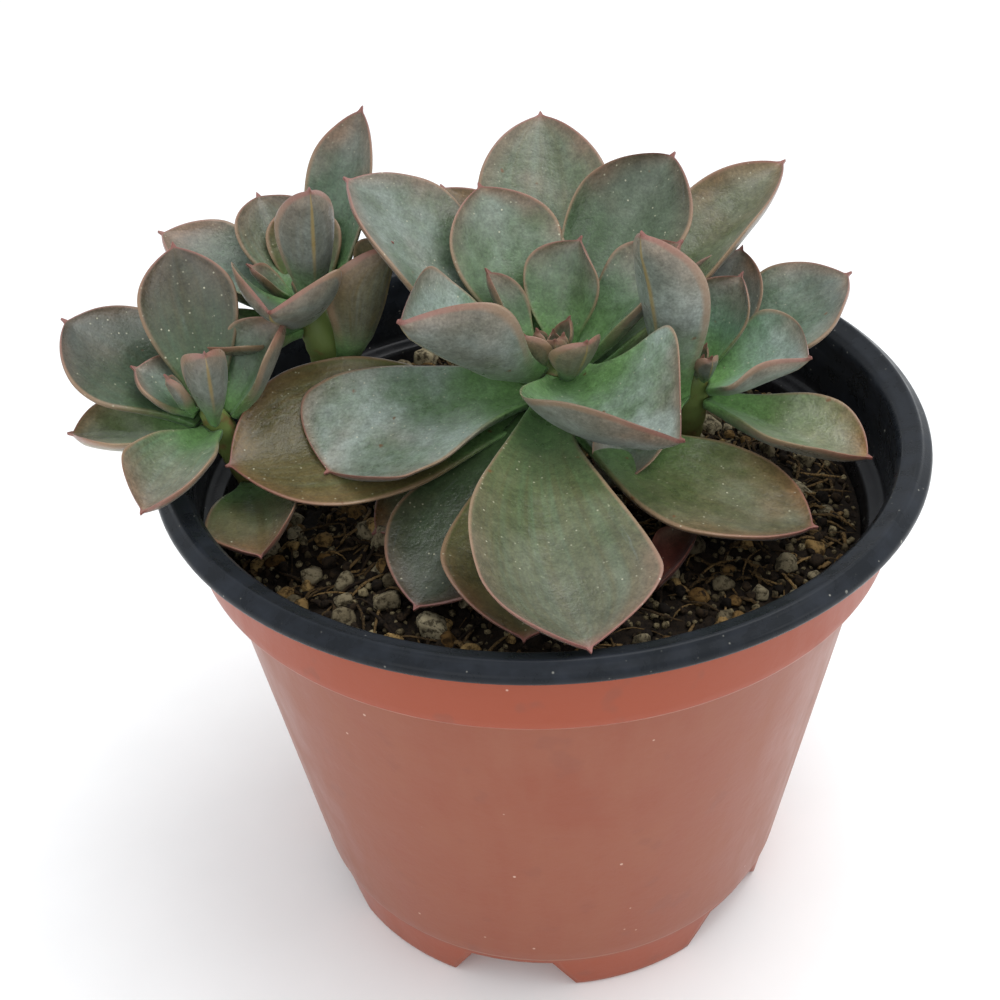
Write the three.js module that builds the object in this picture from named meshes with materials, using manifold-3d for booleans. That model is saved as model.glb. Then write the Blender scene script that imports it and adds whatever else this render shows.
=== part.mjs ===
// A potted rosette succulent: four leafy crowns on short stems, in a two-colour nursery pot.
// Millimetres, +Z up. The origin is the middle of the pot's flat underside, and the front is -Y.
// Azimuths are in degrees about +Z: 0 points to the front (-Y) and 90 to the right (+X).

import * as THREE from "three";
import { mergeVertices } from "three/addons/utils/BufferGeometryUtils.js";
import Module from "manifold-3d";

const wasm = await Module();
wasm.setup();

// ---- Sizes ----

const CLEARANCE = 0.3; // gap kept between pieces that touch on the real plant

const POT_RADIUS = 60.4; // outside of the collar, just under the lip
const POT_HEIGHT = 97.5;
const BASE_RADIUS = 44;
const WALL = 1.0;
const LIP_WIDTH = 4.6;
const LIP_DEPTH = 3.0;
const COLLAR_HEIGHT = 16;
const COLLAR_TAPER = 0.4;
const STEP_WIDTH = 3.0; // how far the collar stands out from the body
const STEP_DROP = 0.6;
const FOOT_BAND_HEIGHT = 9.5;
const FOOT_BAND_INSET = 0.5;
const POT_SEGMENTS = 60;

const NOTCH_COUNT = 6;
const NOTCH_AZIMUTH = -10;
const NOTCH_HEIGHT = 8.5;
const NOTCH_TOP_WIDTH = 14;
const NOTCH_FOOT_WIDTH = 23;
const NOTCH_DEPTH = 12;
const DRAIN_RADIUS = 2.2;
const DRAIN_SEGMENTS = 16;

const SOIL_DROP = 14; // from the rim down to the middle of the soil
const SOIL_EDGE_DROP = 3; // from the collar's step down to where the soil meets the wall
const SOIL_BUMP = 0.9;
const SOIL_RINGS = 6;
const SOIL_SEGMENTS = 36;
const STEM_DEPTH = 9; // how far each stem reaches below the middle of the soil

const RIM_RADIUS = POT_RADIUS + LIP_WIDTH;
const COLLAR_Z = POT_HEIGHT - COLLAR_HEIGHT;
const COLLAR_RADIUS = POT_RADIUS - COLLAR_TAPER;
const BODY_TOP_RADIUS = COLLAR_RADIUS - STEP_WIDTH;
const SOIL_LEVEL = POT_HEIGHT - SOIL_DROP;
const SOIL_EDGE_Z = COLLAR_Z - SOIL_EDGE_DROP;

const LEAF_SHOULDER = 0.66; // where along its length a leaf is widest
const LEAF_NECK = 1.5; // how long a leaf's foot stays narrow
const LEAF_FAT = 3.6;
const LEAF_STATIONS = [0, 0.09, 0.22, 0.38, 0.54, 0.7, 0.84, 0.94, 1];
const LEAF_ACROSS = [-1, -0.55, 0, 0.55, 1];
const STEM_SEGMENTS = 12;

// ---- Colours ----

const TERRACOTTA = { color: 0xa2583c, roughness: 0.42, metalness: 0 };
const PEAT = { color: 0x3a2b20, roughness: 0.95, metalness: 0 };
const STEM_GREEN = { color: 0x9aa05a, roughness: 0.6, metalness: 0 };
const LEAF_GREEN = { color: 0x6f8a63, roughness: 0.5, metalness: 0 };
const LEAF_OLIVE = { color: 0x6d6a4b, roughness: 0.5, metalness: 0 };
const LEAF_MAUVE = { color: 0x7c8077, roughness: 0.5, metalness: 0 };
const DRY_LEAF = { color: 0x6b2f22, roughness: 0.7, metalness: 0 };

// ---- The plant ----

// Each stem runs from its foot in the soil to its crown, whose height counts from the soil's middle.
const CROWNS = {
  main: { foot: [2, 3], tip: [3, 3, 23.5], radius: 5.5, tipRadius: 2.6 },
  left: { foot: [-46, 0], tip: [-54, -8, 22.5], radius: 2.8, tipRadius: 1.6 },
  upper: { foot: [-31, 14], tip: [-39, 12, 31.5], radius: 3.2, tipRadius: 1.6 },
  right: { foot: [24, 11], tip: [27, 5, 18.5], radius: 3.4, tipRadius: 1.8 },
};

// One leaf per line. az: the way it points, rise: degrees its chord climbs, long and wide: its size,
// at: how far along the stem it starts, counted from the crown's tip; curl: degrees the blade bends
// upward along its length; fold: degrees each half is turned up (or [left, right]); roll: degrees the
// whole blade is turned about its length; yaw: degrees it swings sideways; fat: thickness at the base;
// shoulder: where along its length it is widest; neck: how long its foot stays narrow.
const LEAVES = {
  main: [
    {
      name: "front", az: 3, rise: -3, long: 61, wide: 29, at: -7, curl: -26, fold: [34, 14],
      yaw: 34, fat: 4, shoulder: 0.82, neck: 2.4,
    },
    {
      name: "left_big", az: -62, rise: -6, long: 38, wide: 31, at: -6, curl: -14, fold: [8, 26],
      roll: 12, yaw: 30, shoulder: 0.8, neck: 1.2,
    },
    {
      name: "left_low", az: -71, rise: 1, long: 51, wide: 32, at: -10, curl: -8, fold: 12, roll: 18,
      yaw: 8, neck: 1.2,
    },
    {
      name: "front_left", az: -29, rise: -17, long: 43, wide: 25, at: -9, curl: 6, fold: 12,
      neck: 1.9,
    },
    { name: "left_under", az: -58, rise: -18, long: 32, wide: 18, at: -13, fold: 10 },
    { name: "front_low", az: -6, rise: -5, long: 49, wide: 29, at: -13, curl: -6, fold: 12 },
    {
      name: "right_low", az: 54, rise: -6, long: 45, wide: 27, at: -12, curl: 4, fold: 10, roll: 4,
      yaw: 24,
    },
    {
      name: "front_right", az: 34, rise: 6, long: 31, wide: 34, at: -3, curl: 10, fold: [60, 36],
      roll: -14, yaw: 40, shoulder: 0.5,
    },
    { name: "inner_left", az: -56, rise: 36, long: 31, wide: 26, at: -2, curl: 12, fold: 54, yaw: 10 },
    { name: "back_left", az: -114, rise: 44, long: 45, wide: 26, at: -5, curl: -12, fold: 16 },
    { name: "back_left_low", az: -146, rise: 46, long: 40, wide: 22, at: -10, curl: -12, fold: 16 },
    { name: "back", az: -179, rise: 38, long: 52, wide: 25, at: -8, curl: 8, fold: 18 },
    { name: "middle", az: -151, rise: 50, long: 32, wide: 22, at: -3, curl: 8, fold: 22 },
    {
      name: "back_right", az: 143, rise: 39, long: 42, wide: 24, at: -4, curl: 10, fold: [16, 60],
      yaw: -18,
    },
    { name: "back_right_low", az: 130, rise: 26, long: 56, wide: 20, at: -7, curl: 8, fold: 34 },
    { name: "back_right_in", az: 118, rise: 40, long: 27, wide: 16, at: -3, curl: 8, fold: 40 },
    {
      name: "heart_left", az: -122, rise: 57, long: 17, wide: 8, at: -1.5, curl: 10, fold: 40,
      fat: 2.4,
    },
    {
      name: "heart_right", az: 158, rise: 58, long: 20, wide: 16, at: -2, curl: 8, fold: 34,
      yaw: -50, fat: 2.8,
    },
    { name: "heart_front", az: 24, rise: 52, long: 14, wide: 10, at: -2, curl: 20, fold: 30, fat: 2 },
    { name: "heart_tip", az: -40, rise: 62, long: 10, wide: 8, at: -1, curl: 10, fold: 30, fat: 1.8 },
  ],
  left: [
    { name: "back", az: -108, rise: 34, long: 28, wide: 25, at: -4, curl: 16, fold: 14, fat: 3 },
    { name: "up", az: -160, rise: 58, long: 28, wide: 17, at: -3, curl: 6, fold: 22, fat: 3 },
    { name: "low", az: -80, rise: 6, long: 22, wide: 16, at: -6, curl: 6, fold: 26, fat: 3 },
    { name: "small", az: -100, rise: 38, long: 13, wide: 13, at: -2, curl: 14, fold: 22, fat: 2.4 },
    { name: "inner", az: 18, rise: 70, long: 17, wide: 11, at: -2, curl: 8, fold: 60, fat: 2.4 },
    { name: "right", az: 125, rise: 50, long: 19, wide: 15, at: -4, curl: 8, fold: 40, fat: 2.8 },
    { name: "front", az: -16, rise: 2, long: 25, wide: 16, at: -5, curl: -16, fold: [50, 30], fat: 3 },
    {
      name: "front_low", az: 12, rise: 5, long: 25, wide: 17, at: -18, curl: -14, fold: [10, 40],
      fat: 3,
    },
    { name: "heart", az: -60, rise: 64, long: 9, wide: 5, at: -0.5, curl: 8, fold: 30, fat: 1.8 },
  ],
  upper: [
    { name: "back", az: -110, rise: 25, long: 28, wide: 18, at: -4, curl: 14, fold: 26, fat: 3 },
    { name: "up", az: -150, rise: 40, long: 22, wide: 16, at: -3, curl: 8, fold: 26, fat: 2.8 },
    { name: "up_low", az: -170, rise: 50, long: 20, wide: 14, at: -5, curl: 8, fold: 26, fat: 2.8 },
    { name: "inner", az: 22, rise: 72, long: 27, wide: 12, at: -2, curl: 0, fold: 40, fat: 2.4 },
    {
      name: "tall", az: 160, rise: 52, long: 37, wide: 14, at: -6, curl: 8, fold: 34, yaw: -12,
      fat: 3,
    },
    { name: "front", az: -14, rise: 28, long: 16, wide: 24, at: -2, curl: 20, fold: 46, fat: 2.8 },
    { name: "front_right", az: 72, rise: 66, long: 26, wide: 18, at: -13, curl: 8, fold: 56, fat: 2.8 },
    { name: "low", az: -62, rise: 6, long: 19, wide: 18, at: -6, curl: 6, fold: 20, fat: 2.8 },
    { name: "heart", az: -90, rise: 44, long: 10, wide: 6, at: -1, curl: 8, fold: 30, fat: 1.8 },
  ],
  right: [
    { name: "left", az: -48, rise: 74, long: 36, wide: 16, at: -5, curl: -8, fold: [26, 40], fat: 2.8 },
    { name: "back", az: 150, rise: 48, long: 25, wide: 16, at: -5, curl: 8, fold: 30, fat: 2.8 },
    { name: "back_right", az: 110, rise: 32, long: 31, wide: 24, at: -5, curl: 6, fold: 20, fat: 3 },
    { name: "inner", az: 138, rise: 55, long: 18, wide: 15, at: -2, curl: 8, fold: 40, fat: 2.4 },
    {
      name: "front", az: 58, rise: 30, long: 21, wide: 22, at: -3, curl: 14, fold: [20, 50],
      yaw: -40, fat: 2.6, shoulder: 0.5,
    },
    { name: "front_low", az: 58, rise: -6, long: 30, wide: 18, at: -6, curl: 10, fold: 30, fat: 3 },
    {
      name: "hanging", az: -40, rise: -20, long: 24, wide: 14, at: -5, curl: -40, fold: [60, 30],
      fat: 1.8,
    },
    { name: "heart", az: 20, rise: 60, long: 7, wide: 5, at: -0.5, curl: 8, fold: 30, fat: 1.8 },
  ],
};

// A dried leaf that lies on the soil at the front right.
const FALLEN_LEAF = { az: 152, rise: 6, long: 16, wide: 9, curl: 20, fold: 46, roll: 12, fat: 1.2 };
const FALLEN_LEAF_FOOT = [17, -34];
const FALLEN_LEAF_LIFT = 2.6; // how far its foot is held above the soil by its curled edges

// ---- Solids ----

// A manifold-3d solid made from a three.js geometry.
function solidOf(geometry) {
  const bare = new THREE.BufferGeometry();
  bare.setAttribute("position", geometry.getAttribute("position"));
  if (geometry.index) {
    bare.setIndex(geometry.index);
  }
  const merged = mergeVertices(bare, 1e-4);
  const mesh = new wasm.Mesh({
    numProp: 3,
    vertProperties: new Float32Array(merged.attributes.position.array),
    triVerts: new Uint32Array(merged.index.array),
  });
  return new wasm.Manifold(mesh);
}

// The biggest of a solid's separate bodies.
function biggest(solid) {
  const bodies = solid.decompose();
  return bodies.reduce((a, b) => (b.volume() > a.volume() ? b : a));
}

// A three.js geometry made from a manifold-3d solid.
function geometryOf(solid) {
  const mesh = solid.getMesh();
  const geometry = new THREE.BufferGeometry();
  geometry.setAttribute("position", new THREE.BufferAttribute(mesh.vertProperties, 3));
  geometry.setIndex(new THREE.BufferAttribute(mesh.triVerts, 1));
  const flat = geometry.toNonIndexed();
  flat.computeVertexNormals();
  return flat;
}

// A solid from a stack of rings that all have the same number of points, with flat ends.
function loft(rings) {
  const count = rings[0].length;
  const points = rings.flat();
  const faces = [];
  for (let ring = 0; ring + 1 < rings.length; ring += 1) {
    for (let i = 0; i < count; i += 1) {
      const a = ring * count + i;
      const b = ring * count + ((i + 1) % count);
      faces.push(a, b, b + count, a, b + count, a + count);
    }
  }
  for (const [ring, flip] of [[0, true], [rings.length - 1, false]]) {
    const middle = new THREE.Vector3();
    rings[ring].forEach((p) => middle.add(p));
    middle.divideScalar(count);
    points.push(middle);
    for (let i = 0; i < count; i += 1) {
      const a = ring * count + i;
      const b = ring * count + ((i + 1) % count);
      faces.push(...(flip ? [b, a, points.length - 1] : [a, b, points.length - 1]));
    }
  }
  const geometry = new THREE.BufferGeometry().setFromPoints(points);
  geometry.setIndex(faces);
  return solidOf(geometry);
}

// A solid of revolution about +Z from [radius, height] pairs, listed from the bottom outwards and up.
function turned(profile, segments) {
  const points = profile.map(([radius, height]) => new THREE.Vector2(radius, height));
  return solidOf(new THREE.LatheGeometry(points, segments).rotateX(Math.PI / 2));
}

// The unit vector that points along an azimuth, level with the ground.
function heading(azimuth) {
  const angle = THREE.MathUtils.degToRad(azimuth);
  return new THREE.Vector3(Math.sin(angle), -Math.cos(angle), 0);
}

// ---- Pot ----

// Radius of the pot's outside at a height below the collar.
function bodyRadius(z) {
  return BASE_RADIUS + ((BODY_TOP_RADIUS - BASE_RADIUS) * z) / COLLAR_Z;
}

// The recesses between the feet, grown by `grow` on every side.
function footRecesses(grow) {
  const recesses = [];
  const low = -grow - 1;
  const high = NOTCH_HEIGHT + grow;
  const slope = (NOTCH_FOOT_WIDTH - NOTCH_TOP_WIDTH) / 2 / NOTCH_HEIGHT;
  const halfTop = NOTCH_TOP_WIDTH / 2 + grow;
  const halfLow = halfTop + slope * (high - low);
  const inner = BASE_RADIUS - NOTCH_DEPTH - grow;
  for (let i = 0; i < NOTCH_COUNT; i += 1) {
    const out = heading(NOTCH_AZIMUTH + (360 / NOTCH_COUNT) * i);
    const across = new THREE.Vector3(-out.y, out.x, 0);
    const ring = (radius) =>
      [[-halfLow, low], [halfLow, low], [halfTop, high], [-halfTop, high]].map(([x, z]) =>
        out.clone().multiplyScalar(radius).addScaledVector(across, x).setZ(z),
      );
    recesses.push(loft([ring(inner), ring(BASE_RADIUS + 8)]));
  }
  return wasm.Manifold.union(recesses);
}

// The round drain hole in the back of each recess.
function drainHoles() {
  const holes = [];
  for (let i = 0; i < NOTCH_COUNT; i += 1) {
    const out = heading(NOTCH_AZIMUTH + (360 / NOTCH_COUNT) * i);
    const drill = new THREE.CylinderGeometry(DRAIN_RADIUS, DRAIN_RADIUS, 6, DRAIN_SEGMENTS);
    drill.applyQuaternion(new THREE.Quaternion().setFromUnitVectors(new THREE.Vector3(0, 1, 0), out));
    const middle = out.clone().multiplyScalar(BASE_RADIUS - NOTCH_DEPTH);
    drill.translate(middle.x, middle.y, NOTCH_HEIGHT / 2 + 0.4);
    holes.push(solidOf(drill));
  }
  return wasm.Manifold.union(holes);
}

// The wall's inside as [radius, height] pairs from the floor to the collar's step, `gap` mm off it.
function cavityProfile(gap) {
  const floor = WALL + gap;
  return [
    [0, floor],
    [bodyRadius(floor) - FOOT_BAND_INSET - WALL - gap, floor],
    [bodyRadius(FOOT_BAND_HEIGHT) - FOOT_BAND_INSET - WALL - gap, FOOT_BAND_HEIGHT],
    [bodyRadius(FOOT_BAND_HEIGHT + STEP_DROP) - WALL - gap, FOOT_BAND_HEIGHT + STEP_DROP],
  ];
}

// The rolled lip as [radius, height] pairs, from its root under the rim over the crest to its inner
// edge, with `gap` mm of air around it.
function lipProfile(gap) {
  const low = POT_HEIGHT - LIP_DEPTH - gap;
  const inner = POT_RADIUS - WALL + 0.1 - gap;
  return [
    [POT_RADIUS + gap, low],
    [RIM_RADIUS - 0.5 + gap, low],
    [RIM_RADIUS + gap, low + 0.6],
    [RIM_RADIUS + gap, POT_HEIGHT - 1.2 + gap],
    [RIM_RADIUS - 0.9 + gap, POT_HEIGHT - 0.4 + gap],
    [RIM_RADIUS - LIP_WIDTH / 2, POT_HEIGHT + gap],
    [inner, POT_HEIGHT - 0.9 + gap],
  ];
}

// The wall's inside above the soil as [radius, height] pairs, from the collar's step up to the lip.
function throatProfile(gap) {
  return [
    [BODY_TOP_RADIUS - WALL - gap, COLLAR_Z - 0.2 + gap],
    [COLLAR_RADIUS - WALL - gap, COLLAR_Z + WALL - 0.2 + gap],
  ];
}

function pot() {
  const lip = lipProfile(0);
  const [innerEdge] = lip.at(-1);
  const outside = [
    [0, 0],
    [BASE_RADIUS - FOOT_BAND_INSET, 0],
    [bodyRadius(FOOT_BAND_HEIGHT) - FOOT_BAND_INSET, FOOT_BAND_HEIGHT],
    [bodyRadius(FOOT_BAND_HEIGHT + STEP_DROP), FOOT_BAND_HEIGHT + STEP_DROP],
    [BODY_TOP_RADIUS, COLLAR_Z - STEP_DROP],
    [COLLAR_RADIUS, COLLAR_Z],
    ...lip,
    [0, lip.at(-1)[1]],
  ];
  const inside = [
    ...cavityProfile(0),
    ...throatProfile(0),
    [innerEdge, lip.at(-1)[1]],
    [innerEdge, POT_HEIGHT + LIP_DEPTH],
    [0, POT_HEIGHT + LIP_DEPTH],
  ];
  const walls = turned(outside, POT_SEGMENTS).subtract(footRecesses(0));
  const hollow = turned(inside, POT_SEGMENTS).subtract(footRecesses(WALL));
  return walls.subtract(hollow).subtract(drainHoles());
}

// The upper wall and lip with the clearance around them, which leaves keep out of.
function rimSurround() {
  const gap = CLEARANCE;
  const inner = [...throatProfile(gap).reverse(), [bodyRadius(SOIL_EDGE_Z) - WALL - gap, SOIL_EDGE_Z]];
  const outer = [
    [bodyRadius(SOIL_EDGE_Z) + gap, SOIL_EDGE_Z],
    [COLLAR_RADIUS + gap, COLLAR_Z - STEP_DROP],
  ];
  const outline = [...outer, ...lipProfile(gap), ...inner];
  return turned([...outline, outline[0]], POT_SEGMENTS);
}

// ---- Soil ----

// Height of the soil's surface: a low mound with shallow hollows in it.
function soilHeight(x, y, edge) {
  const radius = Math.hypot(x, y) / edge;
  const mound = SOIL_LEVEL - (SOIL_LEVEL - SOIL_EDGE_Z) * radius ** 4;
  const bumps = Math.sin(x * 0.21 + 1.3) * Math.cos(y * 0.17 - 0.4) + 0.6 * Math.sin(x * 0.09 - y * 0.33);
  return mound + SOIL_BUMP * bumps * (1 - radius ** 6);
}

// The heap of soil before the stems' holes are cut, its surface raised by `lift`.
function soilHeap(lift) {
  const gap = CLEARANCE;
  const edge = bodyRadius(SOIL_EDGE_Z) - WALL - gap;
  const columns = [];
  const wallHeights = [...cavityProfile(gap).slice(1), [edge, SOIL_EDGE_Z]];
  const ring = (radius, height) =>
    Array.from({ length: SOIL_SEGMENTS }, (_, i) => {
      const point = heading((360 / SOIL_SEGMENTS) * i).multiplyScalar(radius);
      return point.setZ(height(point.x, point.y));
    });
  for (const [radius, height] of wallHeights) {
    columns.push(ring(radius, () => height));
  }
  for (let i = SOIL_RINGS - 1; i > 0; i -= 1) {
    columns.push(ring((edge * i) / SOIL_RINGS, (x, y) => soilHeight(x, y, edge) + lift));
  }
  return loft(columns).subtract(footRecesses(WALL + gap));
}

function soil(stems) {
  return biggest(soilHeap(0).subtract(wasm.Manifold.union(stems)));
}

// ---- Stems ----

// A stem's two ends: its foot in the soil and its crown.
function stemEnds(crown) {
  const [footX, footY] = crown.foot;
  const [tipX, tipY, tipHeight] = crown.tip;
  const foot = new THREE.Vector3(footX, footY, SOIL_LEVEL - STEM_DEPTH);
  return [foot, new THREE.Vector3(tipX, tipY, SOIL_LEVEL + tipHeight)];
}

// A point on a crown's stem, `at` mm from its tip (negative is down the stem).
function stemPoint(crown, at) {
  const [foot, tip] = stemEnds(crown);
  const along = tip.clone().sub(foot).normalize();
  return tip.addScaledVector(along, at);
}

// The stem's radius `at` mm from its tip.
function stemRadius(crown, at) {
  const taper = Math.min(1, -at / 8);
  return crown.tipRadius + (crown.radius - crown.tipRadius) * taper ** 0.7;
}

function stem(crown, grow) {
  const [foot, tip] = stemEnds(crown);
  const length = tip.distanceTo(foot);
  const stops = [length + grow, 14, 8, 5, 2.5, 1, -grow];
  const rings = stops.map((down) => {
    const middle = stemPoint(crown, -down);
    const dome = down <= 0 ? 0.55 : 1;
    const radius = stemRadius(crown, -Math.max(down, 0)) * dome + grow;
    return Array.from({ length: STEM_SEGMENTS }, (_, i) => {
      const out = heading((360 / STEM_SEGMENTS) * i).multiplyScalar(radius);
      return out.add(middle);
    });
  });
  return loft(rings);
}

// ---- Leaves ----

// Half the blade's width at station s, as a share of its widest: a narrow foot, a broad shoulder
// beyond the middle and a short point. A higher neck keeps the foot narrow for longer.
function outline(s, shoulder, neck) {
  if (s < shoulder) {
    return 0.26 + 0.74 * Math.sin((Math.PI / 2) * (s / shoulder)) ** neck;
  }
  const u = (s - shoulder) / (1 - shoulder);
  return Math.max(0.012, (1 - u ** 2.1) ** 0.8);
}

// Thickness at station s: plump at the foot and thin at the point.
function plumpness(s) {
  return 0.3 + 0.7 * (1 - s) ** 0.8;
}

// Where a leaf's foot is, on the skin of its stem.
function leafFoot(crown, leaf) {
  const out = heading(leaf.az);
  return stemPoint(crown, leaf.at).addScaledVector(out, stemRadius(crown, leaf.at) + CLEARANCE);
}

// The solid of a leaf that starts at `foot`, grown by `grow` on every side.
function leafSolid(foot, leaf, grow) {
  const { az, rise, long, wide, curl = 0, fold = 0, roll = 0, yaw = 0 } = leaf;
  const { fat = LEAF_FAT, shoulder = LEAF_SHOULDER, neck = LEAF_NECK } = leaf;
  const folds = Array.isArray(fold) ? fold : [fold, fold];
  const rings = [];
  const spine = foot.clone();
  let before = 0;
  for (const s of LEAF_STATIONS) {
    const middle = (s + before) / 2 - 0.5;
    const climb = THREE.MathUtils.degToRad(rise + curl * middle);
    const swing = az + yaw * middle;
    const forward = heading(swing).multiplyScalar(Math.cos(climb)).setZ(Math.sin(climb));
    spine.addScaledVector(forward, (s - before) * long);
    before = s;
    const side = heading(swing + 90);
    side.applyAxisAngle(forward, THREE.MathUtils.degToRad(-roll));
    const up = new THREE.Vector3().crossVectors(side, forward).multiplyScalar(-1).normalize();
    const share = outline(s, shoulder, neck);
    const half = (wide / 2) * share;
    const thick = fat * plumpness(s) * Math.min(1, 0.4 + share);
    rings.push(section(spine, side, up, half, thick, folds, s, grow));
  }
  const forward = heading(az + yaw / 2);
  rings[0].forEach((p) => p.addScaledVector(forward, -grow));
  return loft(rings);
}

// One closed section of a leaf: across its upper face from left to right, then back underneath.
function section(middle, side, up, half, thick, folds, s, grow) {
  const upper = LEAF_ACROSS.map((t) => {
    const open = THREE.MathUtils.degToRad(t < 0 ? folds[0] : folds[1]) * (0.55 + 0.45 * s);
    const x = half * t * Math.cos(open * Math.abs(t) ** 0.6);
    const z = half * Math.abs(t) * Math.sin(open * Math.abs(t) ** 0.6);
    return { t, x: x + grow * t, z };
  });
  const depth = (t) => thick * (1 - Math.abs(t) ** 2.4) ** 0.65;
  const edge = Math.min(0.35, 0.12 * thick);
  const place = (x, z) => middle.clone().addScaledVector(side, x).addScaledVector(up, z);
  const top = upper.map(({ t, x, z }) => place(x, z + 0.12 * depth(t) + edge + grow));
  const under = upper.map(({ t, x, z }) => place(x, z - 0.88 * depth(t) - edge - grow));
  return [...top.reverse(), ...under];
}

// ---- The whole object ----

const plant = new THREE.Group();
plant.name = "potted_succulent";

function add(name, solid, finish) {
  const mesh = new THREE.Mesh(geometryOf(solid), new THREE.MeshStandardMaterial(finish));
  mesh.name = name;
  plant.add(mesh);
}

// The finish each leaf gets: the lowest ones are olive, the ones on the side crowns mauve.
function leafFinish(crownName, leaf) {
  if (leaf.name.includes("low")) {
    return LEAF_OLIVE;
  }
  return crownName === "main" ? LEAF_GREEN : LEAF_MAUVE;
}

add("pot", pot(), TERRACOTTA);
const crowns = Object.entries(CROWNS);
add("soil", soil(crowns.map(([, crown]) => stem(crown, CLEARANCE))), PEAT);
for (const [name, crown] of crowns) {
  add(`stem_${name}`, stem(crown, 0), STEM_GREEN);
}

// Leaves press on the stems, the pot and each other: each gives way to those placed before it.
const placed = [rimSurround(), soilHeap(CLEARANCE), ...crowns.map(([, crown]) => stem(crown, CLEARANCE))];
for (const [crownName, crown] of crowns) {
  for (const leaf of LEAVES[crownName]) {
    const foot = leafFoot(crown, leaf);
    const grown = leafSolid(foot, leaf, CLEARANCE);
    let blade = leafSolid(foot, leaf, 0);
    for (const other of placed) {
      blade = blade.subtract(other);
    }
    add(`leaf_${crownName}_${leaf.name}`, biggest(blade), leafFinish(crownName, leaf));
    placed.push(grown);
  }
}

const [fallenX, fallenY] = FALLEN_LEAF_FOOT;
const fallenFoot = new THREE.Vector3(fallenX, fallenY, SOIL_LEVEL + FALLEN_LEAF_LIFT);
const fallen = leafSolid(fallenFoot, FALLEN_LEAF, 0);
add("leaf_fallen", biggest(placed.reduce((blade, other) => blade.subtract(other), fallen)), DRY_LEAF);

export default plant;
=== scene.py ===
"""Looks of a potted rosette succulent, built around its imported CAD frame.

The frame gives the pot, the soil, four short stems and every leaf. Each one is rebuilt here on the
same sizes with a finer mesh and its own finish: waxy leaf skin, fleshy stems, two-colour thermoformed
sheet, peat, pumice grit and bark fibres. Sizes are in millimetres until a mesh is made; the pieces are
in metres, in the frame's own axes (+Z up, the front at -Y, origin under the middle of the pot).
"""

from __future__ import annotations

import logging
import math
from dataclasses import dataclass, field
from enum import Enum

import bmesh
import bpy
import numpy as np
from mathutils import Matrix, Vector, noise


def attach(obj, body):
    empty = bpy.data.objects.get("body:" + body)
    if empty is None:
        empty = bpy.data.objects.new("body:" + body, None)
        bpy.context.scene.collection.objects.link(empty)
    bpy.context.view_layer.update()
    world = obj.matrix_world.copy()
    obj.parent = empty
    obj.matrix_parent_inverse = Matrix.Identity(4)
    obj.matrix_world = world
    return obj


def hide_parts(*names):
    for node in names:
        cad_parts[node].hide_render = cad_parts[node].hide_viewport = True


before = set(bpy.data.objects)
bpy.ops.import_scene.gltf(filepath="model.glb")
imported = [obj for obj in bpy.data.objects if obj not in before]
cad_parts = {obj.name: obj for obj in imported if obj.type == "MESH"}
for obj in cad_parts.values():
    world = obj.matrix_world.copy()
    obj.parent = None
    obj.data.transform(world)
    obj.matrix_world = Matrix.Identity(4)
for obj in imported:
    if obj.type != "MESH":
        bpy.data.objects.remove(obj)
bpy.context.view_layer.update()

LOG = logging.getLogger("potted_succulent")
MM = 0.001
PER_MM = 1.0 / MM  # pattern scale of one repeat a millimetre, in the pieces' metres


# ---- Small tools ----


class Face(Enum):
    """Which finish a face of the pot takes."""

    OUTSIDE = 0
    INSIDE = 1


class Skin(Enum):
    """The kinds of leaf skin, by the record's material slot."""

    GREEN = "leaf_green"
    OLIVE = "leaf_olive"
    MAUVE = "leaf_mauve"
    DRY = "dry_leaf"


def linear(code: str) -> tuple[float, float, float, float]:
    """Turns an sRGB hex colour into a linear one.

    Args:
        code: The colour, such as "#a25a3c".

    Returns:
        Red, green, blue and an alpha of 1.
    """
    channels = [int(code[i : i + 2], 16) / 255 for i in (1, 3, 5)]
    flat = [c / 12.92 if c <= 0.04045 else ((c + 0.055) / 1.055) ** 2.4 for c in channels]
    return (flat[0], flat[1], flat[2], 1.0)


def add_node(tree: bpy.types.NodeTree, kind: str, inputs: dict | None = None, **settings) -> bpy.types.Node:
    """Adds one shader node with its settings and links.

    Args:
        tree: The node tree that gets the node.
        kind: The node's type name.
        inputs: Values, or sockets to link from, by the input's name or number.
        settings: The node's own properties.

    Returns:
        The new node.
    """
    made = tree.nodes.new(kind)
    for name, value in settings.items():
        setattr(made, name, value)
    for name, value in (inputs or {}).items():
        socket = made.inputs[name]
        if isinstance(value, bpy.types.NodeSocket):
            tree.links.new(value, socket)
        else:
            socket.default_value = value
    return made


def new_material(name: str) -> tuple[bpy.types.Material, bpy.types.NodeTree, bpy.types.Node]:
    """Makes an empty node material.

    Args:
        name: The material's name.

    Returns:
        The material, its node tree and its output node.
    """
    material = bpy.data.materials.new(name)
    material.use_nodes = True
    tree = material.node_tree
    tree.nodes.clear()
    return material, tree, add_node(tree, "ShaderNodeOutputMaterial")


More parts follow.
